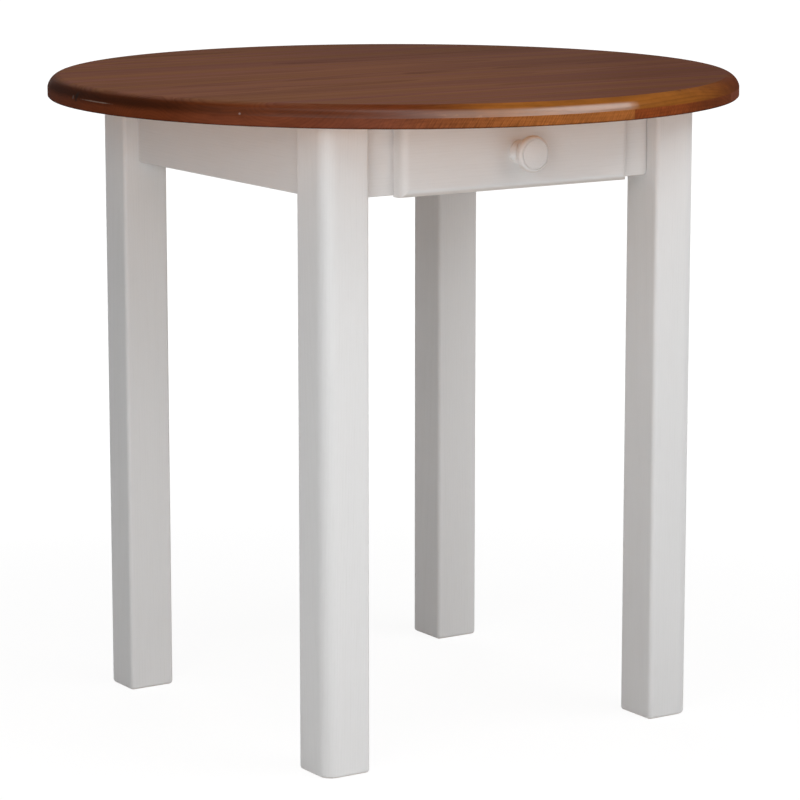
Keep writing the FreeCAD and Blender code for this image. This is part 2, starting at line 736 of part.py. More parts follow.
def make_drawer_box():
    """The drawer's sides, back, bottom panel and stop batten, and what fastens them."""
    length = f"({FRONT_BACK} + {DRAWER_END})"
    side = padded("side_stock", "XZ_Plane", rectangle("drawer_side_thickness", "drawer_side_height"), length)
    rounded(side, "side_rounding", "drawer_arris_round",
            lambda middle: near(middle.z, "drawer_side_height") and middle.y < 0 and
            not near(-middle.y, length))
    place(side, SIDE_INNER, DRAWER_END, DRAWER_LOW)
    groove = block("side_groove", "groove_depth + overrun", f"{length} + 2 * overrun",
                   "bottom_thickness + 2 * groove_gap")
    place(groove, f"{SIDE_INNER} - overrun", f"-{FRONT_BACK} - overrun", f"{PANEL_LOW} - groove_gap")
    tools = drawer_dowels("side_dowel_hole", "fit_gap") + back_screws("side_screw_hole", "fit_gap", "overrun")
    right = node("drawer_side_right", cut("side_right", side, tools + [groove]))
    node("drawer_side_left", mirrored("side_left", right))

    back = block("back_stock", f"2 * {SIDE_INNER}", "drawer_back_thickness", f"{DRAWER_TOP} - {PANEL_TOP}")
    place(back, f"-{SIDE_INNER}", f"{DRAWER_END} - drawer_back_thickness", PANEL_TOP)
    holes = back_screws("back_screw_hole", "fit_gap") + bottom_pins("back_pin_hole", "fit_gap")
    node("drawer_back", cut("back_drilled", back, holes))

    panel_half = f"({SIDE_INNER} + groove_depth - groove_gap)"
    panel_front = f"({FRONT_BACK} + groove_depth - groove_gap)"
    panel = block("panel_stock", f"2 * {panel_half}", f"{panel_front} + {DRAWER_END}", "bottom_thickness")
    place(panel, f"-{panel_half}", f"-{panel_front}", PANEL_LOW)
    node("drawer_bottom", cut("panel_drilled", panel, bottom_pins("panel_pin_hole", "fit_gap")))

    stop_half = f"({LEDGE_INNER} - stop_end_gap)"
    stop = block("stop_stock", f"2 * {stop_half}", "stop_width", "bottom_raise + stop_drop")
    place(stop, f"-{stop_half}", f"drawer_travel + stop_gap - {APRON_INNER}", f"{DRAWER_LOW} - stop_drop")
    node("drawer_stop_batten", stop)
    node("drawer_front_dowels", together("drawer_dowel_group", drawer_dowels("drawer")))
    node("drawer_back_screws", together("back_screw_group", back_screws("back")))
    node("drawer_bottom_pins", together("pin_group", bottom_pins("panel")))


def knob_screw_form(name, ease="0"):
    """The screw from inside the drawer front into the knob, or its hole."""
    length = "front_thickness + knob_screw_depth"
    shank = rod(f"{name}_shank", f"(knob_screw_diameter + 2 * {ease})", f"{length} + {ease}")
    return place(shank, y=f"-{FRONT_BACK}", z=KNOB_LEVEL, turn=towards(SOUTH))


def make_drawer_front():
    """The drawer front, rounded on its show edges, grooved for the bottom and bored for the knob."""
    width = f"(2 * {FRONT_HALF})"
    front = padded("front_stock", "XZ_Plane", rectangle(width, FRONT_HEIGHT), "front_thickness")
    rounded(front, "front_rounding", "front_round", lambda middle: near(-middle.y, "front_thickness"))
    rounded(front, "front_back_rounding", "front_arris_round", lambda middle: near(middle.y, "0"))
    place(front, f"-{FRONT_HALF}", f"-{FRONT_BACK}", FRONT_LOW)
    groove_half = f"({SIDE_INNER} + groove_depth)"
    groove = block("front_groove", f"2 * {groove_half}", "groove_depth + overrun",
                   "bottom_thickness + 2 * groove_gap")
    place(groove, f"-{groove_half}", f"-{FRONT_BACK} - groove_depth", f"{PANEL_LOW} - groove_gap")
    knob_hole = knob_screw_form("front_knob_hole", "fit_gap")
    tools = drawer_dowels("front_dowel_hole", "fit_gap") + [groove, knob_hole]
    node("drawer_front", cut("front_drilled", front, tools))


def make_knob():
    """The turned knob, with a flared foot, a slim neck and a ring cut into its face, and its screw."""
    ring_outer = "(knob_diameter / 2 - knob_face_margin)"
    ring_inner = f"({ring_outer} - knob_ring_width)"
    face_level = "(knob_projection - knob_face_rise)"
    dome_radius = f"({ring_inner} ^ 2 + knob_face_rise ^ 2) / (2 * knob_face_rise)"
    profile = [
        ("0", "0"),
        ("knob_foot_diameter / 2", "0"),
        ("knob_foot_diameter / 2", "knob_foot_height", "knob_neck_sweep", -1),
        ("knob_neck_diameter / 2", "knob_neck_height", "knob_neck_sweep", -1),
        ("knob_shoulder_diameter / 2", "knob_shoulder_height", "knob_back_round", 1),
        ("knob_diameter / 2", "knob_widest", "knob_rim_round", 1),
        (ring_outer, face_level),
        (ring_outer, f"{face_level} - knob_ring_depth"),
        (ring_inner, f"{face_level} - knob_ring_depth"),
        (ring_inner, face_level, dome_radius, 1),
        ("0", "knob_projection"),
    ]
    knob = turned("knob_stock", "XY_Plane", profile)
    place(knob, y=f"-{FRONT_FACE}", z=KNOB_LEVEL, turn=about_z(180))
    node("knob", cut("knob_drilled", knob, [knob_screw_form("knob_hole", "fit_gap")]))
    head = rod("knob_screw_head", "knob_screw_head_diameter", "knob_screw_head_height")
    place(head, y=f"-{FRONT_BACK} + knob_screw_head_height", z=KNOB_LEVEL, turn=towards(SOUTH))
    node("knob_screw", joined("knob_screw_whole", [head, knob_screw_form("knob_screw")]))


def check_and_write():
    """Stop at any failed object or shape, then write each piece to its own file."""
    doc.recompute()
    for item in doc.Objects:
        if "Invalid" in item.State or "Error" in item.State:
            raise RuntimeError(f"{item.Name} failed: {item.State}")
    for item in nodes:
        if item.Shape.isNull() or not item.Shape.isValid() or not item.Shape.Solids:
            raise RuntimeError(f"{item.Label} has no valid solid")
    os.makedirs("parts", exist_ok=True)
    for item in nodes:
        item.Shape.exportStep(f"parts/{item.Label}.step")
        print(f"{item.Label}: {len(item.Shape.Solids)} solids, {item.Shape.Volume / 1000:.1f} cm3")


fill_sheet()
make_top()
make_legs()
make_aprons()
make_corner_blocks()
make_bolts()
make_frame_fasteners()
make_battens_and_cleats()
make_runners()
make_drawer_box()
make_drawer_front()
make_knob()
check_and_write()
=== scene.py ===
"""The looks of a round dining table: a stained pine top, a white painted frame and a drawer that slides.

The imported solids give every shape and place. This script gives each piece its finish, puts fasteners with
slots, threads and flutes and a smoothly turned knob in place of the plain ones, and sets up the studio and
the camera. Lengths are in metres and colours are shares of linear light, unless a comment says otherwise.
"""

from __future__ import annotations

import cmath
import json
import logging
import math
import random
from dataclasses import dataclass, field
from enum import Enum
from typing import Mapping, NamedTuple, Sequence, Union

import bmesh
import bpy
import numpy as np
from mathutils import Euler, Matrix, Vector

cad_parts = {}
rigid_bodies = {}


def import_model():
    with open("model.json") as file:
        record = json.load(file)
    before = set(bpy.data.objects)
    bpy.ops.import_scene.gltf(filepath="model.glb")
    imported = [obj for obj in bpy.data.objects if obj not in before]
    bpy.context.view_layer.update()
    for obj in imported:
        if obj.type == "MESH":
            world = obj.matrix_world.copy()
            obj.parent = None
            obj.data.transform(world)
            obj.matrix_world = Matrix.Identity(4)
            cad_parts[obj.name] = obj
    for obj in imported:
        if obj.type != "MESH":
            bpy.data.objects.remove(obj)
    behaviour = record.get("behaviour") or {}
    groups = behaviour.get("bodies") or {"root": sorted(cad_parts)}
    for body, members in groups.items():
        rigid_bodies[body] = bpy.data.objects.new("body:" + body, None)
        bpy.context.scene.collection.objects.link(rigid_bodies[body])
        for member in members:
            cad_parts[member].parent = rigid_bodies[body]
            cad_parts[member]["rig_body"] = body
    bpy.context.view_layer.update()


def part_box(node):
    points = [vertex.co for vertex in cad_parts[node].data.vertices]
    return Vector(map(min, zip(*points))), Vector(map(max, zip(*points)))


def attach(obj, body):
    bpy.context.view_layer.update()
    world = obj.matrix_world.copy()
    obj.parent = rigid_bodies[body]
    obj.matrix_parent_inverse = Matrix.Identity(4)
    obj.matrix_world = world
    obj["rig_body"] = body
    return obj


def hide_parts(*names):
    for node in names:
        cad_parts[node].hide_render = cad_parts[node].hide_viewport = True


log = logging.getLogger("round_table")

MILLIMETRE = 0.001
SEAM = MILLIMETRE / 1000
ROUND_STEPS = 14
Range = tuple[float, float]
Triple = tuple[float, float, float]
Colour = Triple
WHITE = (1.0, 1.0, 1.0)
CORNERS = ("front_left", "front_right", "back_left", "back_right")


class Wire:
    """An output socket that takes part in arithmetic: each operation on it adds one Math node."""

    def __init__(self, graph: Graph, socket: bpy.types.NodeSocket) -> None:
        """Hold a socket and the graph that it belongs to."""
        self.graph = graph
        self.socket = socket

    def output(self, name: str) -> Wire:
        """Give another output of the same node."""
        return Wire(self.graph, self.graph.find(self.socket.node.outputs, name))

    def math(self, operation: str, *others: Value) -> Wire:
        """Add a Math node whose first value is this wire."""
        return self.graph.math(operation, self, *others)

    def __add__(self, other: Value) -> Wire:
        """Add a value."""
        return self.math("ADD", other)

    def __radd__(self, other: Value) -> Wire:
        """Add this wire to a number."""
        return self.math("ADD", other)

    def __sub__(self, other: Value) -> Wire:
        """Take a value away."""
        return self.math("SUBTRACT", other)

    def __rsub__(self, other: Value) -> Wire:
        """Take this wire away from a number."""
        return self.graph.math("SUBTRACT", other, self)

    def __mul__(self, other: Value) -> Wire:
        """Multiply by a value."""
        return self.math("MULTIPLY", other)

    def __rmul__(self, other: Value) -> Wire:
        """Multiply a number by this wire."""
        return self.math("MULTIPLY", other)

    def __truediv__(self, other: Value) -> Wire:
        """Divide by a value."""
        return self.math("DIVIDE", other)

    def __neg__(self) -> Wire:
        """Turn the sign round."""
        return self.math("MULTIPLY", -1.0)

    def __abs__(self) -> Wire:
        """Drop the sign."""
        return self.math("ABSOLUTE")

    def step(self, low: float, high: float) -> Wire:
        """Rise smoothly from 0 at low to 1 at high."""
        sockets = {"Value": self, "From Min": low, "From Max": high}
        return self.graph.add("ShaderNodeMapRange", {"interpolation_type": "SMOOTHSTEP"}, sockets)


Value = Union[Wire, float, int, str, Sequence[float], bpy.types.ID]


def weighted(weights: Sequence[float], *values: Wire) -> Wire:
    """Add up values by their weights.

    Args:
        weights: The level that the sum starts from, then the weight of each value.
        values: The values.

    Returns:
        The sum.
    """
    total, *shares = weights
    for share, value in zip(shares, values, strict=True):
        total = total + value * share
    return total


def between(share: Wire, first: Wire, second: Wire) -> Wire:
    """Go a share of the way from one value to another."""
    return first + (second - first) * share


class Graph:
    """The nodes of one tree."""

    def __init__(self, tree: bpy.types.NodeTree) -> None:
        """Start on an empty tree."""
        self.tree = tree
        tree.nodes.clear()

    @staticmethod
    def find(sockets: Sequence[bpy.types.NodeSocket], key: Union[str, int]) -> bpy.types.NodeSocket:
        """Find a socket.

        Args:
            sockets: The inputs or outputs of a node.
            key: Its place, or its name among those in use.

        Returns:
            The socket.
        """
        if isinstance(key, int):
            return sockets[key]
        return next(s for s in sockets if s.name == key and s.enabled)

    def add(self, kind: str, settings: Mapping[str, object] | None = None,
            sockets: Mapping[Union[str, int], Value] | None = None) -> Wire | None:
        """Add any node.

        Args:
            kind: The node's type.
            settings: Its properties, set before its sockets.
            sockets: Its inputs by name or place, each a wire to link, a list of wires or a value to set.

        Returns:
            The node's first output in use, if it has one.
        """
        node = self.tree.nodes.new(kind)
        for name, setting in (settings or {}).items():
            setattr(node, name, setting)
        for key, value in (sockets or {}).items():
            socket = self.find(node.inputs, key)
            if isinstance(value, (Wire, list)):
                for wire in value if isinstance(value, list) else [value]:
                    self.tree.links.new(wire.socket, socket)
            elif socket.type == "RGBA" and len(value) == 3:
                socket.default_value = (*value, 1.0)
            else:
                socket.default_value = value
        used = [s for s in node.outputs if s.enabled]
        return Wire(self, used[0]) if used else None

    def math(self, operation: str, *values: Value) -> Wire:
        """Add a Math node on values."""
        return self.add("ShaderNodeMath", {"operation": operation}, dict(enumerate(values)))

    def vector(self, x: Value, y: Value, z: Value) -> Wire:
        """Join three values into a vector."""
        return self.add("ShaderNodeCombineXYZ", None, {"X": x, "Y": y, "Z": z})

    def parts(self, vector: Wire) -> tuple[Wire, Wire, Wire]:
        """Take a vector apart."""
        first = self.add("ShaderNodeSeparateXYZ", None, {"Vector": vector})
        return first, first.output("Y"), first.output("Z")

    def stretched(self, vector: Wire, by: Sequence[float]) -> Wire:
        """Multiply a vector, axis by axis."""
        return self.add("ShaderNodeVectorMath", {"operation": "MULTIPLY"}, {0: vector, 1: by})

    def length(self, vector: Wire) -> Wire:
        """Measure a vector."""
        return self.add("ShaderNodeVectorMath", {"operation": "LENGTH"}, {0: vector}).output("Value")


@dataclass(frozen=True)
class Pattern:
    """A soft random pattern.

    Attributes:
        repeats: How often it repeats in a metre along each axis.
        detail: How many finer layers it has.
        roughness: How strong each finer layer is.
    """

    repeats: Triple
    detail: float = 2.0
    roughness: float = 0.5

    @classmethod
    def even(cls, repeats: float, detail: float = 2.0) -> Pattern:
        """Make a pattern that is the same along every axis."""
        return cls((repeats, repeats, repeats), detail)


class Surface(Graph):
    """A material in the making."""

    def __init__(self, name: str) -> None:
        """Make an empty material.

        Args:
            name: Its name.
        """
        self.material = bpy.data.materials.new(name)
        self.material.use_nodes = True
        super().__init__(self.material.node_tree)
        self.point = self.add("ShaderNodeTexCoord").output("Object")

    def normal(self) -> Wire:
        """The way that the surface faces, in the piece's own frame."""
        return self.add("ShaderNodeTexCoord").output("Normal")

    def noise(self, pattern: Pattern, point: Wire) -> Wire:
        """Draw a pattern.

        Args:
            pattern: The pattern.
            point: Where to look it up.

        Returns:
            Its value there, from 0 to 1.
        """
        sockets = {"Vector": self.stretched(point, pattern.repeats), "Scale": 1.0, "Detail": pattern.detail,
                   "Roughness": pattern.roughness}
        return self.add("ShaderNodeTexNoise", None, sockets)

    def swing(self, pattern: Pattern, point: Wire) -> Wire:
        """A pattern's value at a point, from -0.5 to 0.5."""
        return self.noise(pattern, point) - 0.5

    def chance(self, value: Wire) -> Wire:
        """A random value from 0 to 1 for each whole number."""
        return self.add("ShaderNodeTexWhiteNoise", {"noise_dimensions": "1D"}, {"W": value})

    def blend(self, share: Value, first: Value, second: Value, mode: str = "MIX") -> Wire:
        """Mix two colours."""
        settings = {"data_type": "RGBA", "blend_type": mode}
        return self.add("ShaderNodeMix", settings, {"Factor": share, "A": first, "B": second})

    def tinted(self, colour: Value, level: Value) -> Wire:
        """Multiply a colour by a grey level."""
        grey = self.add("ShaderNodeCombineColor", None, {"Red": level, "Green": level, "Blue": level})
        return self.blend(1.0, colour, grey, "MULTIPLY")

    def bump(self, height: Wire, distance: float, strength: float) -> Wire:
        """Turn a height into a bent normal."""
        sockets = {"Height": height, "Distance": distance, "Strength": strength}
        return self.add("ShaderNodeBump", None, sockets)

    def close(self, sockets: Mapping[str, Value]) -> bpy.types.Material:
        """Finish the material with its shader.

        Args:
            sockets: The shader's inputs by name.

        Returns:
            The material.
        """
        shader = self.add("ShaderNodeBsdfPrincipled", None, sockets)
        self.add("ShaderNodeOutputMaterial", None, {"Surface": shader})
        return self.material


class Grain(Enum):
    """The way that a piece's fibres run, as the turn that lays them along X."""

    ALONG_X = (0.0, 0.0, 0.0)
    ALONG_Y = (0.0, 0.0, -90.0)
    UPRIGHT = (0.0, 90.0, 0.0)
    RISING = (0.0, 0.0, -45.0)
    FALLING = (0.0, 0.0, 45.0)


class Figure(NamedTuple):
    """What shows of the wood at a point, each as a value from 0 to 1."""

    late: Wire
    fibre: Wire
    cloud: Wire


@dataclass(frozen=True)
class Board:
    """How one piece was sawn from its log.

    Attributes:
        grain: The way that its fibres run.
        centre: The middle of the piece.
        pith: How far the log's middle lies from the piece's own, across and up.
        lean: How far the log's axis leans from the fibres, in degrees.
        ring: The width of a year's growth.
    """

    # How far a log's middle and lean can lie from the piece's own.
    PITH_ACROSS = 0.03
    PITH_UP = (0.03, 0.12)
    TILT = 1.2
    SKEW = 1.8
    # How far the rings stray from round ones.
    WANDER = Pattern((2.2, 16.0, 16.0))
    WANDER_REACH = 0.011
    RIPPLE = Pattern((14.0, 90.0, 90.0))
    RIPPLE_REACH = 0.0011
    ACROSS = (0.0, 1.0, 1.0)
    # When late wood grows and stops in a year, and how much that differs from year to year.
    LATE_START = (0.3, 0.9)
    LATE_STOP = (0.93, 1.0)
    YEAR_LEVEL = (0.4, 0.6)
    FIBRE = Pattern((22.0, 900.0, 900.0), 3.0, 0.6)
    CLOUD = Pattern((3.0, 22.0, 22.0))

    grain: Grain
    centre: Triple
    pith: Range
    lean: Range
    ring: float = 0.0034

    @classmethod
    def of_node(cls, node: str, grain: Grain) -> Board:
        """Saw a board for a CAD node, in a way that its name settles.

        Args:
            node: The CAD node.
            grain: The way that its fibres run.

        Returns:
            The board.
        """
        low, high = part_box(node)
        draw = random.Random(node)
        side = draw.choice((-1, 1))
        pith = (draw.uniform(-cls.PITH_ACROSS, cls.PITH_ACROSS), side * draw.uniform(*cls.PITH_UP))
        lean = (draw.uniform(-cls.TILT, cls.TILT), draw.uniform(-cls.SKEW, cls.SKEW))
        return cls(grain, tuple((low + high) / 2), pith, lean)

    def frame(self, surface: Surface) -> Wire:
        """Give each point in the log's frame.

        Args:
            surface: The material in the making.

        Returns:
            The place along the fibres, then across and up from the log's middle.
        """
        tilt, skew = self.lean
        base = [math.radians(angle) for angle in self.grain.value]
        turn = Euler(base).to_matrix()
        turn = Euler((0.0, math.radians(tilt), math.radians(skew))).to_matrix() @ turn
        shift = -(turn @ Vector(self.centre)) - Vector((0.0, *self.pith))
        sockets = {"Vector": surface.point, "Location": shift, "Rotation": turn.to_euler()}
        return surface.add("ShaderNodeMapping", {"vector_type": "POINT"}, sockets)

    def figure(self, surface: Surface) -> Figure:
        """Draw the growth rings and fibres.

        Args:
            surface: The material in the making.

        Returns:
            The share of late wood, the fibres and the slow clouds of tone.
        """
        log_point = self.frame(surface)
        wander = surface.swing(self.WANDER, log_point) * self.WANDER_REACH
        ripple = surface.swing(self.RIPPLE, log_point) * self.RIPPLE_REACH
        reach = surface.length(surface.stretched(log_point, self.ACROSS))
        year = (reach + wander + ripple) / self.ring
        number = year.math("FLOOR")
        season = year - number
        grown = season.step(*self.LATE_START) * (1.0 - season.step(*self.LATE_STOP))
        late = grown * weighted(self.YEAR_LEVEL, surface.chance(number))
        return Figure(late, surface.noise(self.FIBRE, log_point), surface.noise(self.CLOUD, log_point))


@dataclass(frozen=True)
class Mark:
    """A small mark on the rim, such as a knot, or a pale line that is a painted highlight.

    Attributes:
        place: The middle of the mark.
        reach: How far it reaches along each axis.
        colour: Its colour.
        strength: How much it covers in its middle.
    """

    RAGGED = Pattern.even(300.0)
    RAGGED_SHARE = 0.8
    EDGE = (0.3, 1.1)

    place: Triple
    reach: Triple
    colour: Colour
    strength: float

    def laid_on(self, surface: Surface, colour: Wire) -> Wire:
        """Lay the mark over a colour, with a soft and ragged edge.

        Args:
            surface: The material in the making.
            colour: The colour below.

        Returns:
            The colour with the mark.
        """
        sockets = {0: surface.point, 1: self.place}
        centred = surface.add("ShaderNodeVectorMath", {"operation": "SUBTRACT"}, sockets)
        away = surface.length(surface.stretched(centred, tuple(1.0 / reach for reach in self.reach)))
        ragged = away + surface.swing(self.RAGGED, surface.point) * self.RAGGED_SHARE
        return surface.blend((1.0 - ragged.step(*self.EDGE)) * self.strength, colour, self.colour)


@dataclass(frozen=True)
class Stave:
    """One stave of the top.

    Attributes:
        tone: How light it is, with 1 the mean.
        marks: The marks on its rim.
        joint: Where it is pieced together from two lengths, along X.
    """

    tone: float
    marks: tuple[Mark, ...] = ()
    joint: float | None = None


class Facing(NamedTuple):
    """The way that a point of the top faces.

    Its turn runs from -1 at the left end of the rim over 0 at the front and back to 1 at the right end.
    Its rise runs from -1 on the underside over 0 on the rim's band to 1 on the flat.
    """

    turn: Wire
    rise: Wire

    @classmethod
    def of(cls, surface: Surface) -> Facing:
        """Read the way that a surface faces.

        Args:
            surface: The material in the making.

        Returns:
            The turn and the rise.
        """
        least = 0.02
        across, _, rise = surface.parts(surface.normal())
        return cls(across / (1.0 - rise * rise).math("MAXIMUM", least).math("SQRT"), rise)


@dataclass(frozen=True)
class RimStain:
    """Stain on the rim: a sparing golden coat on its round, and drunk in where the rim cuts the fibres.

    Attributes:
        round_side: The colour of the round where it runs with the fibres.
        round_end: The colour of the round where it cuts the fibres.
        band_side: The colour of the band where it runs with the fibres.
        band_end: The colour of the band where it cuts the fibres.
        band_far: The colour of the band at the left end: end grain, darker still by painted shade.
        band_joint: The colour of the band beyond a joint.
        underside: The colour of the underside, which had one sparing coat.
    """

    # The turns over which the band darkens: where it cuts the fibres, and further at the left end, which is
    # painted shade.
    BAND_END = (0.10, 0.62)
    BAND_FAR = (0.86, 0.96)
    # The line of a joint, and how the band darkens beyond it.
    JOINT_BLUR = 0.0006
    JOINT_TURN = (0.25, 0.48)
    JOINT_SHADE = 0.4
    # The strokes that slant across the band, and the turns over which they fade.
    TOP_RADIUS = 0.4
    STROKE = Pattern((640.0, 60.0, 1.0))
    STROKE_SLANT = 0.59
    STROKE_EDGE = (0.3, 0.7)
    STROKE_DEPTH = 0.5
    STROKE_FADE = (0.35, 0.75)
    # The turns over which the round darkens to the left and to the right, where it cuts the fibres; the
    # extra darkening at the far left end is painted shade.
    ROUND_LEFT = (0.21, 0.54)
    ROUND_RIGHT = (0.30, 0.75)
    ROUND_FAR = (0.84, 0.98)
    ROUND_FAR_SHADE = 0.5
    # The lower half of the round, which is darker from the middle to the left: painted shade.
    BELLY_RISE = (0.60, 0.78)
    BELLY_TURN = (-0.13, -0.07)
    BELLY_SHADE = 0.16
    # The level where the round meets the band: crisp in front, and soft at the ends.
    CRISP_LEVEL = (0.7354, 0.7376)
    SOFT_LEVEL = (0.7320, 0.7410)
    SOFT_TURN = (0.75, 0.95)
    # The break below the band, darker where it turns to face down: painted shade.
    BREAK_RISE = (-0.72, -0.20)
    BREAK_LEVEL = (0.6, 0.4)
    UNDERSIDE_RISE = (-0.98, -0.85)
    MOTTLE = Pattern((34.0, 34.0, 110.0), 3.0, 0.6)
    LEVEL = (0.71, -0.20, 0.70)

    round_side: Colour = (0.250, 0.083, 0.013)
    round_end: Colour = (0.112, 0.024, 0.005)
    band_side: Colour = (0.320, 0.105, 0.026)
    band_end: Colour = (0.168, 0.044, 0.019)
    band_far: Colour = (0.140, 0.031, 0.009)
    band_joint: Colour = (0.225, 0.052, 0.013)
    underside: Colour = (0.720, 0.290, 0.060)

    def band(self, surface: Surface, turn: Wire, joint: float | None) -> Wire:
        """Colour the rim's band.

        Args:
            surface: The material in the making.
            turn: How far the rim turns to the left or right.
            joint: Where the stave is pieced together along X.

        Returns:
            The colour.
        """
        x, y, z = surface.parts(surface.point)
        band = surface.blend(abs(turn).step(*self.BAND_END), self.band_side, self.band_end)
        # Painted shade: the band darkens further at its left end.
        band = surface.blend((-turn).step(*self.BAND_FAR), band, self.band_far)
        if joint is not None:
            shade = 1.0 - turn.step(*self.JOINT_TURN) * self.JOINT_SHADE
            seam = x.step(joint - self.JOINT_BLUR, joint + self.JOINT_BLUR)
            band = surface.blend(seam, band, surface.tinted(self.band_joint, shade))
        way = x.math("ARCTAN2", -y) * self.TOP_RADIUS
        slant = surface.vector(way - z * self.STROKE_SLANT, z, 0.0)
        stroke = surface.noise(self.STROKE, slant).step(*self.STROKE_EDGE) - 0.5
        fading = 1.0 - abs(turn).step(*self.STROKE_FADE)
        return surface.tinted(band, 1.0 + stroke * self.STROKE_DEPTH * fading)

    def bend(self, surface: Surface, facing: Facing) -> Wire:
        """Colour the rim's round.

        Args:
            surface: The material in the making.
            facing: The way that the rim faces.

        Returns:
            The colour.
        """
        leftward = -facing.turn
        drunk = leftward.step(*self.ROUND_LEFT).math("MAXIMUM", facing.turn.step(*self.ROUND_RIGHT))
        bend = surface.blend(drunk, self.round_side, self.round_end)
        # Painted shade: the round's far left end and its lower half, from the middle to the left, are
        # darkened.
        belly = (1.0 - facing.rise.step(*self.BELLY_RISE)) * leftward.step(*self.BELLY_TURN)
        shades = (1.0, -self.ROUND_FAR_SHADE, -self.BELLY_SHADE)
        return surface.tinted(bend, weighted(shades, leftward.step(*self.ROUND_FAR), belly))

    def colour(self, surface: Surface, facing: Facing, late: Wire, joint: float | None) -> Wire:
        """Colour the rim: its round above, its band below and the underside.

        Args:
            surface: The material in the making.
            facing: The way that the rim faces.
            late: The share of late wood.
            joint: Where the stave is pieced together along X.

        Returns:
            The colour.
        """
        _, _, z = surface.parts(surface.point)
        soft = abs(facing.turn).step(*self.SOFT_TURN)
        above = between(soft, z.step(*self.CRISP_LEVEL), z.step(*self.SOFT_LEVEL))
        band = self.band(surface, facing.turn, joint)
        colour = surface.blend(above, band, self.bend(surface, facing))
        # Painted shade: the break darkens as it turns to face down.
        colour = surface.tinted(colour, weighted(self.BREAK_LEVEL, facing.rise.step(*self.BREAK_RISE)))
        colour = surface.blend(facing.rise.step(*self.UNDERSIDE_RISE), self.underside, colour)
        mottle = surface.noise(self.MOTTLE, surface.point)
        return surface.tinted(colour, weighted(self.LEVEL, late, mottle))


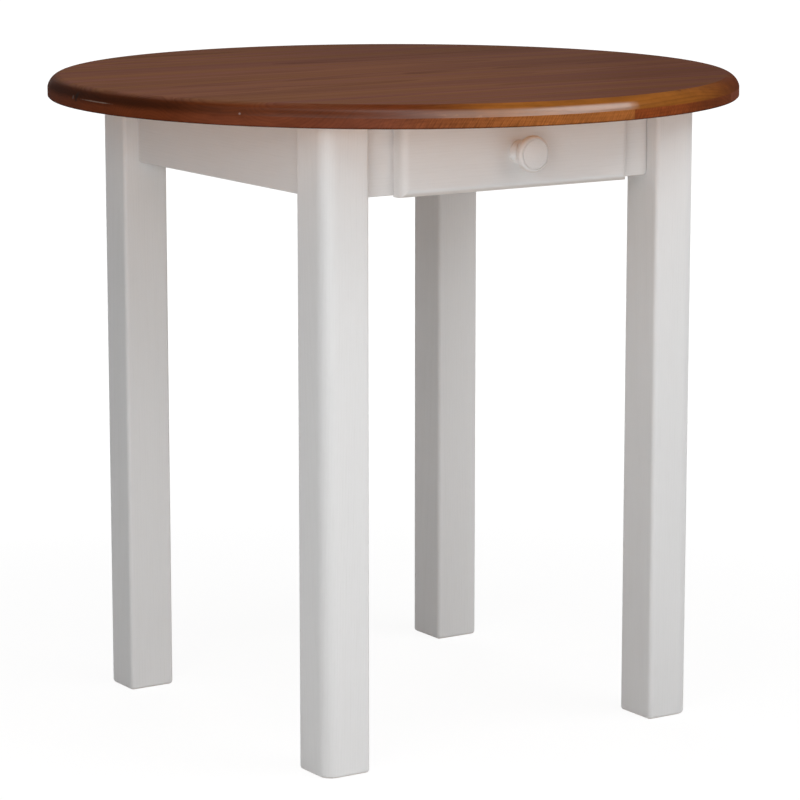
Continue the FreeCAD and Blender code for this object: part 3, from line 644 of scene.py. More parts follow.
@dataclass(frozen=True)
class StainedPine:
    """Pine under a brown stain and varnish, which is rubbed matt on the flat.

    Attributes:
        rim: The stain on the rim.
        early: The colour of early wood on the flat.
        late: The colour of late wood on the flat.
        warm: The tint of the flat's warm streaks.
        cool: The tint of the flat's cool streaks.
        painted_right_tint: The tint that makes the flat darker and cooler towards the right: painted shade
            with a faint painted sheen.
    """

    # The rise at which the flat starts: crisp in front, and soft at the ends.
    FLAT_CRISP = (0.972, 0.996)
    FLAT_SOFT = (0.74, 0.995)
    FLAT_TURN = (0.55, 0.90)
    # The streaks of the flat, which share the colour with the growth rings.
    STREAK = Pattern((1.6, 70.0, 70.0), 3.0, 0.6)
    STREAK_EDGE = (0.35, 0.70)
    DARK_SHARES = (0.0, 0.6, 0.4)
    HUE = Pattern((1.43, 49.4, 49.4))
    HUE_EDGE = (0.36, 0.64)
    # Painted shade and sheen: where the flat turns darker and cooler towards the right.
    RIGHT_TINT_ALONG = (-0.10, 0.36)
    # How light the wood is: at least, and by its clouds, streaks and fibres.
    LEVEL = (0.76, 0.24, 0.16, 0.12)
    # The turns and rises over which the round of the rim shines.
    SHINE_FAR = (-0.95, -0.85)
    SHINE_NEAR = (-0.70, -0.36)
    SHINE_SHARES = (0.0, 0.1, 0.9)
    SHINE_STOP = (0.10, 0.16)
    SHINE_LOW = (0.12, 0.26)
    SHINE_HIGH = (0.58, 0.76)
    # The roughness by late wood and on the rim, and the varnish at least, on the rim and where it shines.
    ROUGHNESS = (0.64, -0.06, -0.12)
    VARNISH = (0.008, 0.030, 0.90)
    VARNISH_ROUGHNESS = 0.30
    VARNISH_IOR = 1.76
    RELIEF = (0.0, 0.6, 0.4)
    BUMP = (0.00006, 0.5)

    rim: RimStain = field(default_factory=RimStain)
    early: Colour = (0.199, 0.080, 0.044)
    late: Colour = (0.128, 0.050, 0.028)
    warm: Colour = (1.03, 1.05, 0.92)
    cool: Colour = (0.97, 0.95, 1.12)
    painted_right_tint: Colour = (0.82, 0.85, 0.93)

    def shine(self, facing: Facing) -> Wire:
        """Find where the round of the rim shines.

        Args:
            facing: The way that the rim faces.

        Returns:
            The strength of the shine, from 0 to 1.
        """
        turn, rise = facing
        shine = weighted(self.SHINE_SHARES, turn.step(*self.SHINE_FAR), turn.step(*self.SHINE_NEAR))
        shine = shine * (1.0 - turn.step(*self.SHINE_STOP))
        return shine * rise.step(*self.SHINE_LOW) * (1.0 - rise.step(*self.SHINE_HIGH))

    def face(self, surface: Surface, board: Board, late: Wire, streak: Wire) -> Wire:
        """Colour the flat.

        Args:
            surface: The material in the making.
            board: How the stave was sawn.
            late: The share of late wood.
            streak: The strength of the streaks.

        Returns:
            The colour.
        """
        dark = weighted(self.DARK_SHARES, late, streak.step(*self.STREAK_EDGE))
        face = surface.blend(dark, self.early, self.late)
        hue = surface.noise(self.HUE, board.frame(surface)).step(*self.HUE_EDGE)
        face = surface.blend(1.0, face, surface.blend(hue, self.warm, self.cool), "MULTIPLY")
        along, _, _ = surface.parts(surface.point)
        # Painted shade and sheen: darker and cooler towards the right.
        painted_right_tint = surface.blend(1.0, face, self.painted_right_tint, "MULTIPLY")
        return surface.blend(along.step(*self.RIGHT_TINT_ALONG), face, painted_right_tint)

    def material(self, name: str, board: Board, stave: Stave) -> bpy.types.Material:
        """Make the finish for one stave.

        Args:
            name: The material's name.
            board: How the stave was sawn.
            stave: Its tone, marks and joint.

        Returns:
            The material.
        """
        surface = Surface(name)
        late, fibre, cloud = board.figure(surface)
        facing = Facing.of(surface)
        soft = abs(facing.turn).step(*self.FLAT_TURN)
        flat = between(soft, facing.rise.step(*self.FLAT_CRISP), facing.rise.step(*self.FLAT_SOFT))
        streak = surface.noise(self.STREAK, board.frame(surface))
        face = surface.tinted(self.face(surface, board, late, streak), stave.tone)
        colour = surface.blend(flat, self.rim.colour(surface, facing, late, stave.joint), face)
        for mark in stave.marks:
            colour = mark.laid_on(surface, colour)
        return surface.close({
            "Base Color": surface.tinted(colour, weighted(self.LEVEL, cloud, streak, fibre)),
            "Roughness": weighted(self.ROUGHNESS, late, 1.0 - flat),
            "Specular IOR Level": 0.0,
            "Coat Weight": weighted(self.VARNISH, 1.0 - flat, self.shine(facing)),
            "Coat Roughness": self.VARNISH_ROUGHNESS,
            "Coat IOR": self.VARNISH_IOR,
            "Normal": surface.bump(weighted(self.RELIEF, fibre, late), *self.BUMP),
        })


@dataclass(frozen=True)
class WhitePaint:
    """Satin white paint, sprayed sparingly enough for the fibres below to show as faint lines.

    Attributes:
        coat: The colour of the paint.
        hollow: The colour along the fibres, where the paint has sunk in.
        painted_shade_below: The colour on edges that face down: painted shade, darker and warmer than the
            coat.
    """

    PEEL = Pattern.even(420.0)
    # How far the paint sinks in, by the fibres and by late wood.
    SUNK_EDGE = (0.42, 0.72)
    SUNK_SHARES = (0.0, 0.55, 0.35)
    HOLLOW_SHARE = 0.75
    # Painted shade: edges that face down take a darker, warmer colour.
    SHADE_BELOW_DROP = (0.30, 0.80)
    SHADE_BELOW_SHARE = 0.8
    ROUGHNESS = (0.40, 0.08, 0.06)
    GLOSS = 0.4
    RELIEF = (1.0, -0.8, 0.35)
    BUMP = (0.00008, 0.6)

    coat: Colour = (0.83, 0.829, 0.828)
    hollow: Colour = (0.78, 0.777, 0.772)
    painted_shade_below: Colour = (0.66, 0.58, 0.52)

    def material(self, name: str, board: Board) -> bpy.types.Material:
        """Make the finish for one piece.

        Args:
            name: The material's name.
            board: How the piece below the paint was sawn.

        Returns:
            The material.
        """
        surface = Surface(name)
        late, fibre, cloud = board.figure(surface)
        peel = surface.noise(self.PEEL, surface.point)
        sunk = weighted(self.SUNK_SHARES, fibre.step(*self.SUNK_EDGE), late)
        _, _, rise = surface.parts(surface.normal())
        colour = surface.blend(sunk * self.HOLLOW_SHARE, self.coat, self.hollow)
        return surface.close({
            # Painted shade on edges that face down.
            "Base Color": surface.blend((-rise).step(*self.SHADE_BELOW_DROP) * self.SHADE_BELOW_SHARE, colour, self.painted_shade_below),
            "Roughness": weighted(self.ROUGHNESS, cloud, sunk),
            "Specular IOR Level": self.GLOSS,
            "Normal": surface.bump(weighted(self.RELIEF, sunk, peel), *self.BUMP),
        })


@dataclass(frozen=True)
class BarePine:
    """Planed softwood with no finish.

    Attributes:
        early: The colour of early wood.
        late: The colour of late wood.
    """

    LEVEL = (0.82, 0.20, 0.16)
    ROUGHNESS = (0.62, 0.12)
    GLOSS = 0.3
    RELIEF = (0.0, 0.7, 0.3)
    BUMP = (0.00012, 0.6)

    early: Colour = (0.7157, 0.4969, 0.2542)
    late: Colour = (0.4851, 0.2423, 0.0802)

    def material(self, name: str, board: Board) -> bpy.types.Material:
        """Make the finish for one piece.

        Args:
            name: The material's name.
            board: How the piece was sawn.

        Returns:
            The material.
        """
        surface = Surface(name)
        late, fibre, cloud = board.figure(surface)
        colour = surface.blend(late, self.early, self.late)
        return surface.close({
            "Base Color": surface.tinted(colour, weighted(self.LEVEL, cloud, fibre)),
            "Roughness": weighted(self.ROUGHNESS, fibre),
            "Specular IOR Level": self.GLOSS,
            "Normal": surface.bump(weighted(self.RELIEF, fibre, late), *self.BUMP),
        })


@dataclass(frozen=True)
class Beech:
    """Pale pinkish hardwood with short dark flecks, as turned for dowels.

    Attributes:
        ground: The colour of the wood.
        fleck: The colour of its flecks.
    """

    FLECK = Pattern((320.0, 1500.0, 1500.0), 1.0)
    FLECK_EDGE = (0.60, 0.72)
    FLECK_SHARE = 0.7
    CLOUD = Pattern.even(60.0)
    LEVEL = (0.86, 0.28)
    ROUGHNESS = (0.55, 0.15)
    BUMP = (0.00005, 0.5)

    ground: Colour = (0.6867, 0.4072, 0.2016)
    fleck: Colour = (0.3916, 0.1746, 0.0648)

    def material(self, name: str, board: Board) -> bpy.types.Material:
        """Make the finish.

        Args:
            name: The material's name.
            board: How the dowels' stock was sawn.

        Returns:
            The material.
        """
        surface = Surface(name)
        point = board.frame(surface)
        fleck = surface.noise(self.FLECK, point).step(*self.FLECK_EDGE)
        colour = surface.blend(fleck * self.FLECK_SHARE, self.ground, self.fleck)
        return surface.close({
            "Base Color": surface.tinted(colour, weighted(self.LEVEL, surface.noise(self.CLOUD, point))),
            "Roughness": weighted(self.ROUGHNESS, fleck),
            "Normal": surface.bump(1.0 - fleck, *self.BUMP),
        })


@dataclass(frozen=True)
class Fibreboard:
    """Thin hard-pressed board: smooth, brown and felted with short fibres.

    Attributes:
        ground: The colour of the board.
        strand: The colour of its lighter strands.
    """

    STRAND = Pattern((500.0, 900.0, 500.0), 3.0, 0.65)
    STRAND_EDGE = (0.45, 0.75)
    CLOUD = Pattern.even(18.0)
    LEVEL = (0.86, 0.28)
    ROUGHNESS = (0.44, 0.18)
    BUMP = (0.00005, 0.6)

    ground: Colour = (0.2664, 0.1384, 0.0578)
    strand: Colour = (0.4342, 0.2542, 0.1170)

    def material(self, name: str) -> bpy.types.Material:
        """Make the finish.

        Args:
            name: The material's name.

        Returns:
            The material.
        """
        surface = Surface(name)
        strand = surface.noise(self.STRAND, surface.point)
        colour = surface.blend(strand.step(*self.STRAND_EDGE), self.ground, self.strand)
        cloud = surface.noise(self.CLOUD, surface.point)
        return surface.close({
            "Base Color": surface.tinted(colour, weighted(self.LEVEL, cloud)),
            "Roughness": weighted(self.ROUGHNESS, strand),
            "Normal": surface.bump(strand, *self.BUMP),
        })


@dataclass(frozen=True)
class ZincSteel:
    """Zinc plated steel with a faint yellow cast and dull patches.

    Attributes:
        bright: The colour of clean plating.
        dull: The colour of dulled plating.
    """

    PATCH = Pattern.even(260.0, 3.0)
    PATCH_EDGE = (0.40, 0.65)
    SCRATCH = Pattern((900.0, 900.0, 5200.0))
    ROUGHNESS = (0.26, 0.16, 0.08)
    BUMP = (0.00002, 0.4)

    bright: Colour = (0.6308, 0.6240, 0.5776)
    dull: Colour = (0.3968, 0.3763, 0.2961)

    def material(self, name: str) -> bpy.types.Material:
        """Make the finish.

        Args:
            name: The material's name.

        Returns:
            The material.
        """
        surface = Surface(name)
        patch = surface.noise(self.PATCH, surface.point).step(*self.PATCH_EDGE)
        scratch = surface.noise(self.SCRATCH, surface.point)
        return surface.close({
            "Base Color": surface.blend(patch, self.bright, self.dull),
            "Metallic": 1.0,
            "Roughness": weighted(self.ROUGHNESS, patch, scratch),
            "Normal": surface.bump(scratch, *self.BUMP),
        })


class Seat(NamedTuple):
    """Where a fastener sits: the middle of its outer end, the way it points and its sizes."""

    start: Vector
    heading: Vector
    length: float
    width: float


def solids_of(node: str) -> list[np.ndarray]:
    """Find the separate solids of a CAD node.

    Args:
        node: The CAD node.

    Returns:
        The corner points of each solid, in an order that is the same each time.
    """
    mesh = bmesh.new()
    mesh.from_mesh(bpy.data.objects[node].data)
    bmesh.ops.remove_doubles(mesh, verts=mesh.verts, dist=SEAM)
    waiting = set(mesh.verts)
    solids = []
    while waiting:
        front = [waiting.pop()]
        found = []
        while front:
            vertex = front.pop()
            found.append(tuple(vertex.co))
            beside = {edge.other_vert(vertex) for edge in vertex.link_edges} & waiting
            waiting -= beside
            front.extend(beside)
        solids.append(sorted(found))
    mesh.free()
    return [np.array(points) for points in sorted(solids)]


def seat_of(points: np.ndarray, flat: bool) -> Seat:
    """Work out how a fastener sits from its corner points.

    Args:
        points: The solid's corner points.
        flat: Whether it is wider than long, as a washer is.

    Returns:
        Its seat, which starts at its wider end.
    """
    centre = (points.max(0) + points.min(0)) / 2
    _, axes = np.linalg.eigh(np.cov((points - centre).T))
    axis = axes[:, 0 if flat else 2]
    reach = (points - centre) @ axis
    out = np.linalg.norm(points - centre - np.outer(reach, axis), axis=1)
    middle = (reach.max() + reach.min()) / 2
    if out[reach > middle].max() > out[reach < middle].max():
        axis, reach = -axis, -reach
    start = Vector(centre + axis * reach.min())
    return Seat(start, Vector(axis), float(np.ptp(reach)), float(2 * out.max()))


def seats_of(node: str, flat: bool = False) -> list[Seat]:
    """Give the seats of a CAD node's fasteners, which may be wider than long."""
    return [seat_of(points, flat) for points in solids_of(node)]


class MeshTree(Graph):
    """A Geometry Nodes tree that makes one piece from a source mesh, a finish and named sizes."""

    SHARP_ANGLE = math.radians(32)

    def __init__(self, name: str, source: str, sizes: Sequence[str]) -> None:
        """Make the tree.

        Args:
            name: The tree's name.
            source: The name of its input for the source mesh.
            sizes: The names of its sizes, each an input.
        """
        super().__init__(bpy.data.node_groups.new(name, "GeometryNodeTree"))
        face = self.tree.interface
        face.new_socket(source, in_out="INPUT", socket_type="NodeSocketGeometry")
        face.new_socket("Finish", in_out="INPUT", socket_type="NodeSocketMaterial")
        for size in sizes:
            face.new_socket(size, in_out="INPUT", socket_type="NodeSocketFloat")
        face.new_socket("Piece", in_out="OUTPUT", socket_type="NodeSocketGeometry")
        self.entry = self.add("NodeGroupInput")

    def size(self, name: str) -> Wire:
        """Give one of the tree's inputs."""
        return self.entry.output(name)

    def end(self, shape: Wire) -> None:
        """End the tree with real geometry in its finish.

        Args:
            shape: What the tree has made.
        """
        real = self.add("GeometryNodeRealizeInstances", None, {"Geometry": shape})
        finished = {"Geometry": real, "Material": self.size("Finish")}
        done = self.add("GeometryNodeSetMaterial", None, finished)
        self.add("NodeGroupOutput", None, {"Piece": done})

    def bake(self, name: str, source: bpy.types.Mesh, finish: bpy.types.Material,
             sizes: Mapping[str, float]) -> bpy.types.Object:
        """Run the tree, and keep what it makes as one plain mesh.

        Args:
            name: The piece's name.
            source: The source mesh, which is used up.
            finish: The piece's material.
            sizes: The tree's sizes by name.

        Returns:
            The piece.
        """
        piece = bpy.data.objects.new(name, source)
        bpy.context.scene.collection.objects.link(piece)
        modifier = piece.modifiers.new(self.tree.name, "NODES")
        modifier.node_group = self.tree
        values = {"Finish": finish, **sizes}
        for socket in self.tree.interface.items_tree:
            if socket.in_out == "INPUT" and socket.name in values:
                modifier[socket.identifier] = values[socket.name]
        depsgraph = bpy.context.evaluated_depsgraph_get()
        made = bpy.data.meshes.new_from_object(piece.evaluated_get(depsgraph))
        piece.modifiers.clear()
        piece.data = made
        made.name = name
        made.polygons.foreach_set("use_smooth", [True] * len(made.polygons))
        made.set_sharp_from_angle(angle=self.SHARP_ANGLE)
        bpy.data.meshes.remove(source)
        return piece


class Carving(Enum):
    """What is left where shapes meet."""

    CUT_AWAY = "DIFFERENCE"
    KEEP_SHARED = "INTERSECT"


class Shop(MeshTree):
    """A tree that makes one fastener and sets it on every seat of a node.

    The tree's own input is a mesh with a point at each seat, and a heading on each point.
    """

    HEADING = "heading"
    SIDES = 40
    THREAD_STEPS = 14
    RIDGE_SIDES = 3
    RIDGE_SHARE = 0.26

    def __init__(self, name: str, sizes: Sequence[str]) -> None:
        """Make the tree of that name, with its sizes as inputs."""
        super().__init__(name, "Seats", sizes)

    def radius(self, width: str) -> Wire:
        """Halve one of the tree's sizes."""
        return self.size(width) * 0.5

    def moved(self, shape: Wire, height: Value, turn: Sequence[float] = (0.0, 0.0, 0.0)) -> Wire:
        """Lift a shape along the fastener's axis, after a turn."""
        sockets = {"Geometry": shape, "Translation": self.vector(0.0, 0.0, height), "Rotation": turn}
        return self.add("GeometryNodeTransform", None, sockets)

    def rod(self, radius: Value, start: Value, length: Wire, sides: int = SIDES) -> Wire:
        """A round rod, or one with a few flat sides, from a height on the axis."""
        sockets = {"Vertices": sides, "Radius": radius, "Depth": length}
        return self.moved(self.add("GeometryNodeMeshCylinder", None, sockets), start + length * 0.5)

    def taper(self, lower: Value, upper: Value, start: Value, length: Value) -> Wire:
        """A round taper from a height on the axis."""
        sockets = {"Vertices": self.SIDES, "Radius Bottom": lower, "Radius Top": upper, "Depth": length}
        return self.moved(self.add("GeometryNodeMeshCone", None, sockets), start)

    def thread(self, radius: Value, start: Value, length: Wire, pitch: Wire) -> Wire:
        """Wind a ridge round the axis.

        Args:
            radius: The radius that it winds on.
            start: The height that it starts from.
            length: How far it runs along the axis.
            pitch: How far it runs in one turn.

        Returns:
            The ridge.
        """
        turns = {"Resolution": self.THREAD_STEPS, "Rotations": length / pitch, "Start Radius": radius,
                 "End Radius": radius, "Height": length}
        path = self.add("GeometryNodeCurveSpiral", None, turns)
        outline = {"Resolution": self.RIDGE_SIDES, "Radius": pitch * self.RIDGE_SHARE}
        ridge = self.add("GeometryNodeCurvePrimitiveCircle", None, outline)
        wound = {"Curve": path, "Profile Curve": ridge, "Fill Caps": True}
        return self.moved(self.add("GeometryNodeCurveToMesh", None, wound), start)

    def carved(self, carving: Carving, first: Wire, others: list[Wire]) -> Wire:
        """Cut shapes out of the first, or keep what they share.

        Args:
            carving: Which of the two.
            first: The first shape.
            others: The other shapes.

        Returns:
            What is left.
        """
        settings = {"operation": carving.value, "solver": "EXACT"}
        if carving is Carving.KEEP_SHARED:
            return self.add("GeometryNodeMeshBoolean", settings, {"Mesh": [first, *others]})
        return self.add("GeometryNodeMeshBoolean", settings, {"Mesh 1": first, "Mesh 2": others})

    def joined(self, shapes: list[Wire]) -> Wire:
        """Take shapes together."""
        return self.add("GeometryNodeJoinGeometry", None, {"Geometry": shapes})

    def deliver(self, shape: Wire) -> None:
        """Set the shape on every seat, and end the tree.

        Args:
            shape: One fastener, which starts at its seat and points up.
        """
        settings = {"data_type": "FLOAT_VECTOR"}
        heading = self.add("GeometryNodeInputNamedAttribute", settings, {"Name": self.HEADING})
        turn = self.add("FunctionNodeAlignRotationToVector", {"axis": "Z"}, {"Vector": heading})
        placed = {"Points": self.size("Seats"), "Instance": shape, "Rotation": turn}
        self.end(self.add("GeometryNodeInstanceOnPoints", None, placed))

    def run(self, name: str, seats: Sequence[Seat], finish: bpy.types.Material,
            sizes: Mapping[str, float]) -> bpy.types.Object:
        """Make the fasteners as one plain mesh.

        Args:
            name: The piece's name.
            seats: Where they sit.
            finish: Their material.
            sizes: The tree's sizes by name.

        Returns:
            The piece.
        """
        mesh = bpy.data.meshes.new(f"{name}_seats")
        mesh.from_pydata([seat.start for seat in seats], [], [])
        heading = mesh.attributes.new(self.HEADING, "FLOAT_VECTOR", "POINT")
        heading.data.foreach_set("vector", [part for seat in seats for part in seat.heading])
        return self.bake(name, mesh, finish, sizes)


class Lathe(MeshTree):
    """A tree that turns a profile round an axis along -Y.

    The tree's own input is a mesh whose points run along the profile, each with its distance from the axis
    as X and its distance along the axis as Z.
    """

    SIDES = 112

    def __init__(self, name: str, points: int) -> None:
        """Make the tree.

        Args:
            name: The tree's name.
            points: The number of points on the profile.
        """
        super().__init__(name, "Profile", ("Face", "Level"))
        sheet = {"Size X": 1.0, "Size Y": 1.0, "Vertices X": self.SIDES + 1, "Vertices Y": points}
        sheet = self.add("GeometryNodeMeshGrid", None, sheet)
        place = self.add("GeometryNodeInputPosition")
        across, along, _ = self.parts(place)
        row = ((along + 0.5) * (points - 1)).math("ROUND")
        settings = {"data_type": "FLOAT_VECTOR", "domain": "POINT"}
        sampled = {"Geometry": self.size("Profile"), "Value": place, "Index": row}
        sampled = self.add("GeometryNodeSampleIndex", settings, sampled)
        radius, _, height = self.parts(sampled)
        angle = (across + 0.5) * math.tau
        level = self.size("Level") + radius * angle.math("SINE")
        spot = self.vector(radius * angle.math("COSINE"), self.size("Face") - height, level)
        spun = self.add("GeometryNodeSetPosition", None, {"Geometry": sheet, "Position": spot})
        self.end(self.add("GeometryNodeMergeByDistance", None, {"Geometry": spun, "Distance": SEAM}))

    def turn(self, name: str, profile: Sequence[complex], finish: bpy.types.Material,
             sizes: Mapping[str, float]) -> bpy.types.Object:
        """Turn one piece.

        Args:
            name: The piece's name.
            profile: The profile's points, with the distance from the axis as the real part.
            finish: The piece's material.
            sizes: The tree's sizes by name.

        Returns:
            The piece.
        """
        mesh = bpy.data.meshes.new(f"{name}_profile")
        mesh.from_pydata([(point.real, 0.0, point.imag) for point in profile], [], [])
        return self.bake(name, mesh, finish, sizes)


def swept(start: complex, end: complex, radius: float, hollow: bool = False) -> list[complex]:
    """Round off the way from one point of a profile to another.

    Args:
        start: The point before, which isn't repeated.
        end: The last point.
        radius: The radius of the round.
        hollow: Whether it bends inwards.

    Returns:
        The points on the round.
    """
    chord = end - start
    rise = math.sqrt(radius ** 2 - (abs(chord) / 2) ** 2)
    left = 1j * chord / abs(chord)
    centre = (start + end) / 2 + left * (-rise if hollow else rise)
    turn = cmath.phase((end - centre) / (start - centre))
    steps = (step / ROUND_STEPS for step in range(1, ROUND_STEPS + 1))
    return [centre + (start - centre) * cmath.exp(1j * turn * share) for share in steps]


@dataclass
class Fasteners:
    """The screws, bolts, washers, nuts and dowels, made in place of the plain solids.

    Attributes:
        steel: The plated finish.
        beech: The dowels' finish.
        shank_share: The width of a screw's shank, by the width of its head.
        sink_share: The height of its sunk head, by the head's width.
        slot_share: The width of its slot, by the head's width.
        slot_reach: The length of its slot, by the head's radius.
        slot_depth: The height of the bars that cut its slot, by the head's height.
        shank_start: Where its shank starts, by the head's height.
        thread_start: Where its thread starts, by the head's height.
        pitch_share: The pitch of its thread, by the shank's width.
        core_share: The core of its thread, by the shank.
        tip_share: The length of its tip, by its own length.
        tip_end: The end of its tip, by the core.
        bolt_core: The radius of a bolt's core, by its width.
        bolt_point: The length of its point, by its own length.
        bolt_point_end: The end of its point, by the core.
        collar: Where its collar starts and how far it runs, by its length.
        fine_thread: Where its machine thread starts and how far it runs.
        coarse_thread: Where its coarse thread starts and how far it runs.
        fine_pitch: The pitch of the machine thread, by the bolt's width.
        coarse_pitch: The pitch of the coarse thread, by the bolt's width.
        washer_bore: The bore of a washer, by the bolt's width.
        nut_bore: The bore of a nut, by the bolt's width.
        nut_sides: The number of a nut's sides.
        nut_ball: The radius of the ball that turns down a nut's corners, by its width.
        nut_ball_faces: The number of faces round that ball and over it.
        dowel_break: The length of a dowel's broken end, by its width.
        dowel_end: The radius of a dowel's end, by its width.
        dowel_shoulder: The radius where its broken end starts, by its width.
        dowel_flute: The depth of its flutes, by its radius.
    """

    steel: bpy.types.Material
    beech: bpy.types.Material
    shank_share: float = 0.5
    sink_share: float = 0.3
    slot_share: float = 0.13
    slot_reach: float = 1.1
    slot_depth: float = 1.2
    shank_start: float = 0.6
    thread_start: float = 1.4
    pitch_share: float = 0.42
    core_share: float = 0.74
    tip_share: float = 0.14
    tip_end: float = 0.12
    bolt_core: float = 0.43
    bolt_point: float = 0.07
    bolt_point_end: float = 0.2
    collar: Range = (0.44, 0.10)
    fine_thread: Range = (0.02, 0.42)
    coarse_thread: Range = (0.55, 0.38)
    fine_pitch: float = 0.16
    coarse_pitch: float = 0.36
    washer_bore: float = 1.03
    nut_bore: float = 1.0
    nut_sides: int = 6
    nut_ball: float = 0.555
    nut_ball_faces: tuple[int, int] = (48, 32)
    dowel_break: float = 0.12
    dowel_end: float = 0.38
    dowel_shoulder: float = 0.45
    dowel_flute: float = 0.1

    def build(self) -> list[bpy.types.Object]:
        """Make every group of fasteners.

        Returns:
            The pieces.
        """
        screw = self.screw_shop()
        nodes = ("corner_block_screws", "batten_screws", "cleat_screws", "drawer_back_screws")
        pieces = [self.screws(screw, node) for node in nodes]
        pieces += [self.bolts(), self.washers(), self.nuts()]
        dowel = self.dowel_shop()
        nodes = ("apron_dowels", "runner_dowels", "drawer_front_dowels")
        return pieces + [self.dowels(dowel, node) for node in nodes]

    @staticmethod
    def placed(piece: bpy.types.Object, node: str, slot: str) -> bpy.types.Object:
        """Let a piece stand for a CAD node.

        Args:
            piece: The piece.
            node: The CAD node.
            slot: The material slot, which is not used.

        Returns:
            The piece, which moves with that node's body.
        """
        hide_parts(node)
        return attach(piece, bpy.data.objects[node]["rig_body"])

    def plated(self, shop: Shop, node: str, made: str, seats: Sequence[Seat],
               sizes: Mapping[str, float]) -> bpy.types.Object:
        """Make the steel fasteners of one CAD node.

        Args:
            shop: The tree that makes one.
            node: The CAD node.
            made: How they are made, as the end of their name.
            seats: Where they sit.
            sizes: The tree's sizes by name.

        Returns:
            The piece.
        """
        return self.placed(shop.run(f"{node}_{made}", seats, self.steel, sizes), node, "zinc_steel")

    def screw_shop(self) -> Shop:
        """Draw a sunk wood screw with a crossed slot.

        Returns:
            Its tree.
        """
        sizes = ("Length", "Head Height", "Slot Width", "Pitch")
        shop = Shop("sunk_screw", ("Head Width", "Shank Width", *sizes))
        head = shop.radius("Head Width")
        shank = shop.radius("Shank Width")
        length, sink, slot, pitch = (shop.size(name) for name in sizes)
        bars = []
        for turn in (0.0, math.pi / 2):
            size = shop.vector(head * self.slot_reach, slot, sink * self.slot_depth)
            bar = shop.add("GeometryNodeMeshCube", None, {"Size": size})
            bars.append(shop.moved(bar, 0.0, (0.0, 0.0, turn)))
        slotted = shop.carved(Carving.CUT_AWAY, shop.taper(head, shank, 0.0, sink), bars)
        core = shank * self.core_share
        tip = length * self.tip_share
        start = sink * self.shank_start
        body = shop.rod(core, start, length - tip - start)
        point = shop.taper(core, core * self.tip_end, length - tip, tip)
        start = sink * self.thread_start
        wound = shop.thread(core, start, length - start - tip, pitch)
        shop.deliver(shop.joined([slotted, body, point, wound]))
        return shop

    def screws(self, shop: Shop, node: str) -> bpy.types.Object:
        """Make the wood screws of one CAD node.

        Args:
            shop: The screw's tree.
            node: The CAD node.

        Returns:
            The piece.
        """
        seats = seats_of(node)
        width = seats[0].width
        shank = width * self.shank_share
        sizes = {"Length": seats[0].length, "Head Width": width, "Shank Width": shank,
                 "Head Height": width * self.sink_share, "Slot Width": width * self.slot_share,
                 "Pitch": shank * self.pitch_share}
        return self.plated(shop, node, "threaded", seats, sizes)

    def bolts(self) -> bpy.types.Object:
        """Make the hanger bolts: a machine thread under the nut and a coarse one in the leg.

        Returns:
            The piece.
        """
        shop = Shop("hanger_bolt", ("Length", "Width", "Fine Pitch", "Coarse Pitch"))
        length, width = shop.size("Length"), shop.size("Width")
        core = width * self.bolt_core
        point = length * self.bolt_point
        body = shop.rod(core, 0.0, length - point)
        tip = shop.taper(core, core * self.bolt_point_end, length - point, point)
        start, run = self.collar
        collar = shop.rod(shop.radius("Width"), length * start, length * run)
        runs = {"Fine Pitch": self.fine_thread, "Coarse Pitch": self.coarse_thread}
        threads = [shop.thread(core, length * start, length * run, shop.size(pitch))
                   for pitch, (start, run) in runs.items()]
        shop.deliver(shop.joined([body, collar, tip, *threads]))
        seats = seats_of("hanger_bolts")
        width = seats[0].width
        sizes = {"Length": seats[0].length, "Width": width, "Fine Pitch": width * self.fine_pitch,
                 "Coarse Pitch": width * self.coarse_pitch}
        return self.plated(shop, "hanger_bolts", "threaded", seats, sizes)

    def bored(self, shop: Shop, shape: Wire, node: str, made: str, bore: float) -> bpy.types.Object:
        """Bore a washer or nut right through, and set it on every bolt.

        Args:
            shop: The tree in the making, with its height, width and bore as sizes.
            shape: The shape before the bore.
            node: The CAD node.
            made: How they are made, as the end of their name.
            bore: The width of the bore as a share of the bolt's width.

        Returns:
            The piece.
        """
        height = shop.size("Height")
        drill = shop.rod(shop.radius("Bore"), -height, height * 3.0)
        shop.deliver(shop.carved(Carving.CUT_AWAY, shape, [drill]))
        seats = seats_of(node, flat=True)
        bolt = seats_of("hanger_bolts")[0]
        sizes = {"Height": seats[0].length, "Width": seats[0].width, "Bore": bolt.width * bore}
        return self.plated(shop, node, made, seats, sizes)

    def washers(self) -> bpy.types.Object:
        """Make the washers under the nuts.

        Returns:
            The piece.
        """
        shop = Shop("round_washer", ("Height", "Width", "Bore"))
        disc = shop.rod(shop.radius("Width"), 0.0, shop.size("Height"))
        return self.bored(shop, disc, "bolt_washers", "stamped", self.washer_bore)

    def nuts(self) -> bpy.types.Object:
        """Make the six-sided nuts, with their corners turned down.

        Returns:
            The piece.
        """
        shop = Shop("hexagon_nut", ("Height", "Width", "Bore"))
        height, width = shop.size("Height"), shop.size("Width")
        prism = shop.rod(shop.radius("Width"), 0.0, height, self.nut_sides)
        around, over = self.nut_ball_faces
        sphere = {"Segments": around, "Rings": over, "Radius": width * self.nut_ball}
        ball = shop.moved(shop.add("GeometryNodeMeshUVSphere", None, sphere), shop.radius("Height"))
        turned = shop.carved(Carving.KEEP_SHARED, prism, [ball])
        return self.bored(shop, turned, "bolt_nuts", "turned", self.nut_bore)

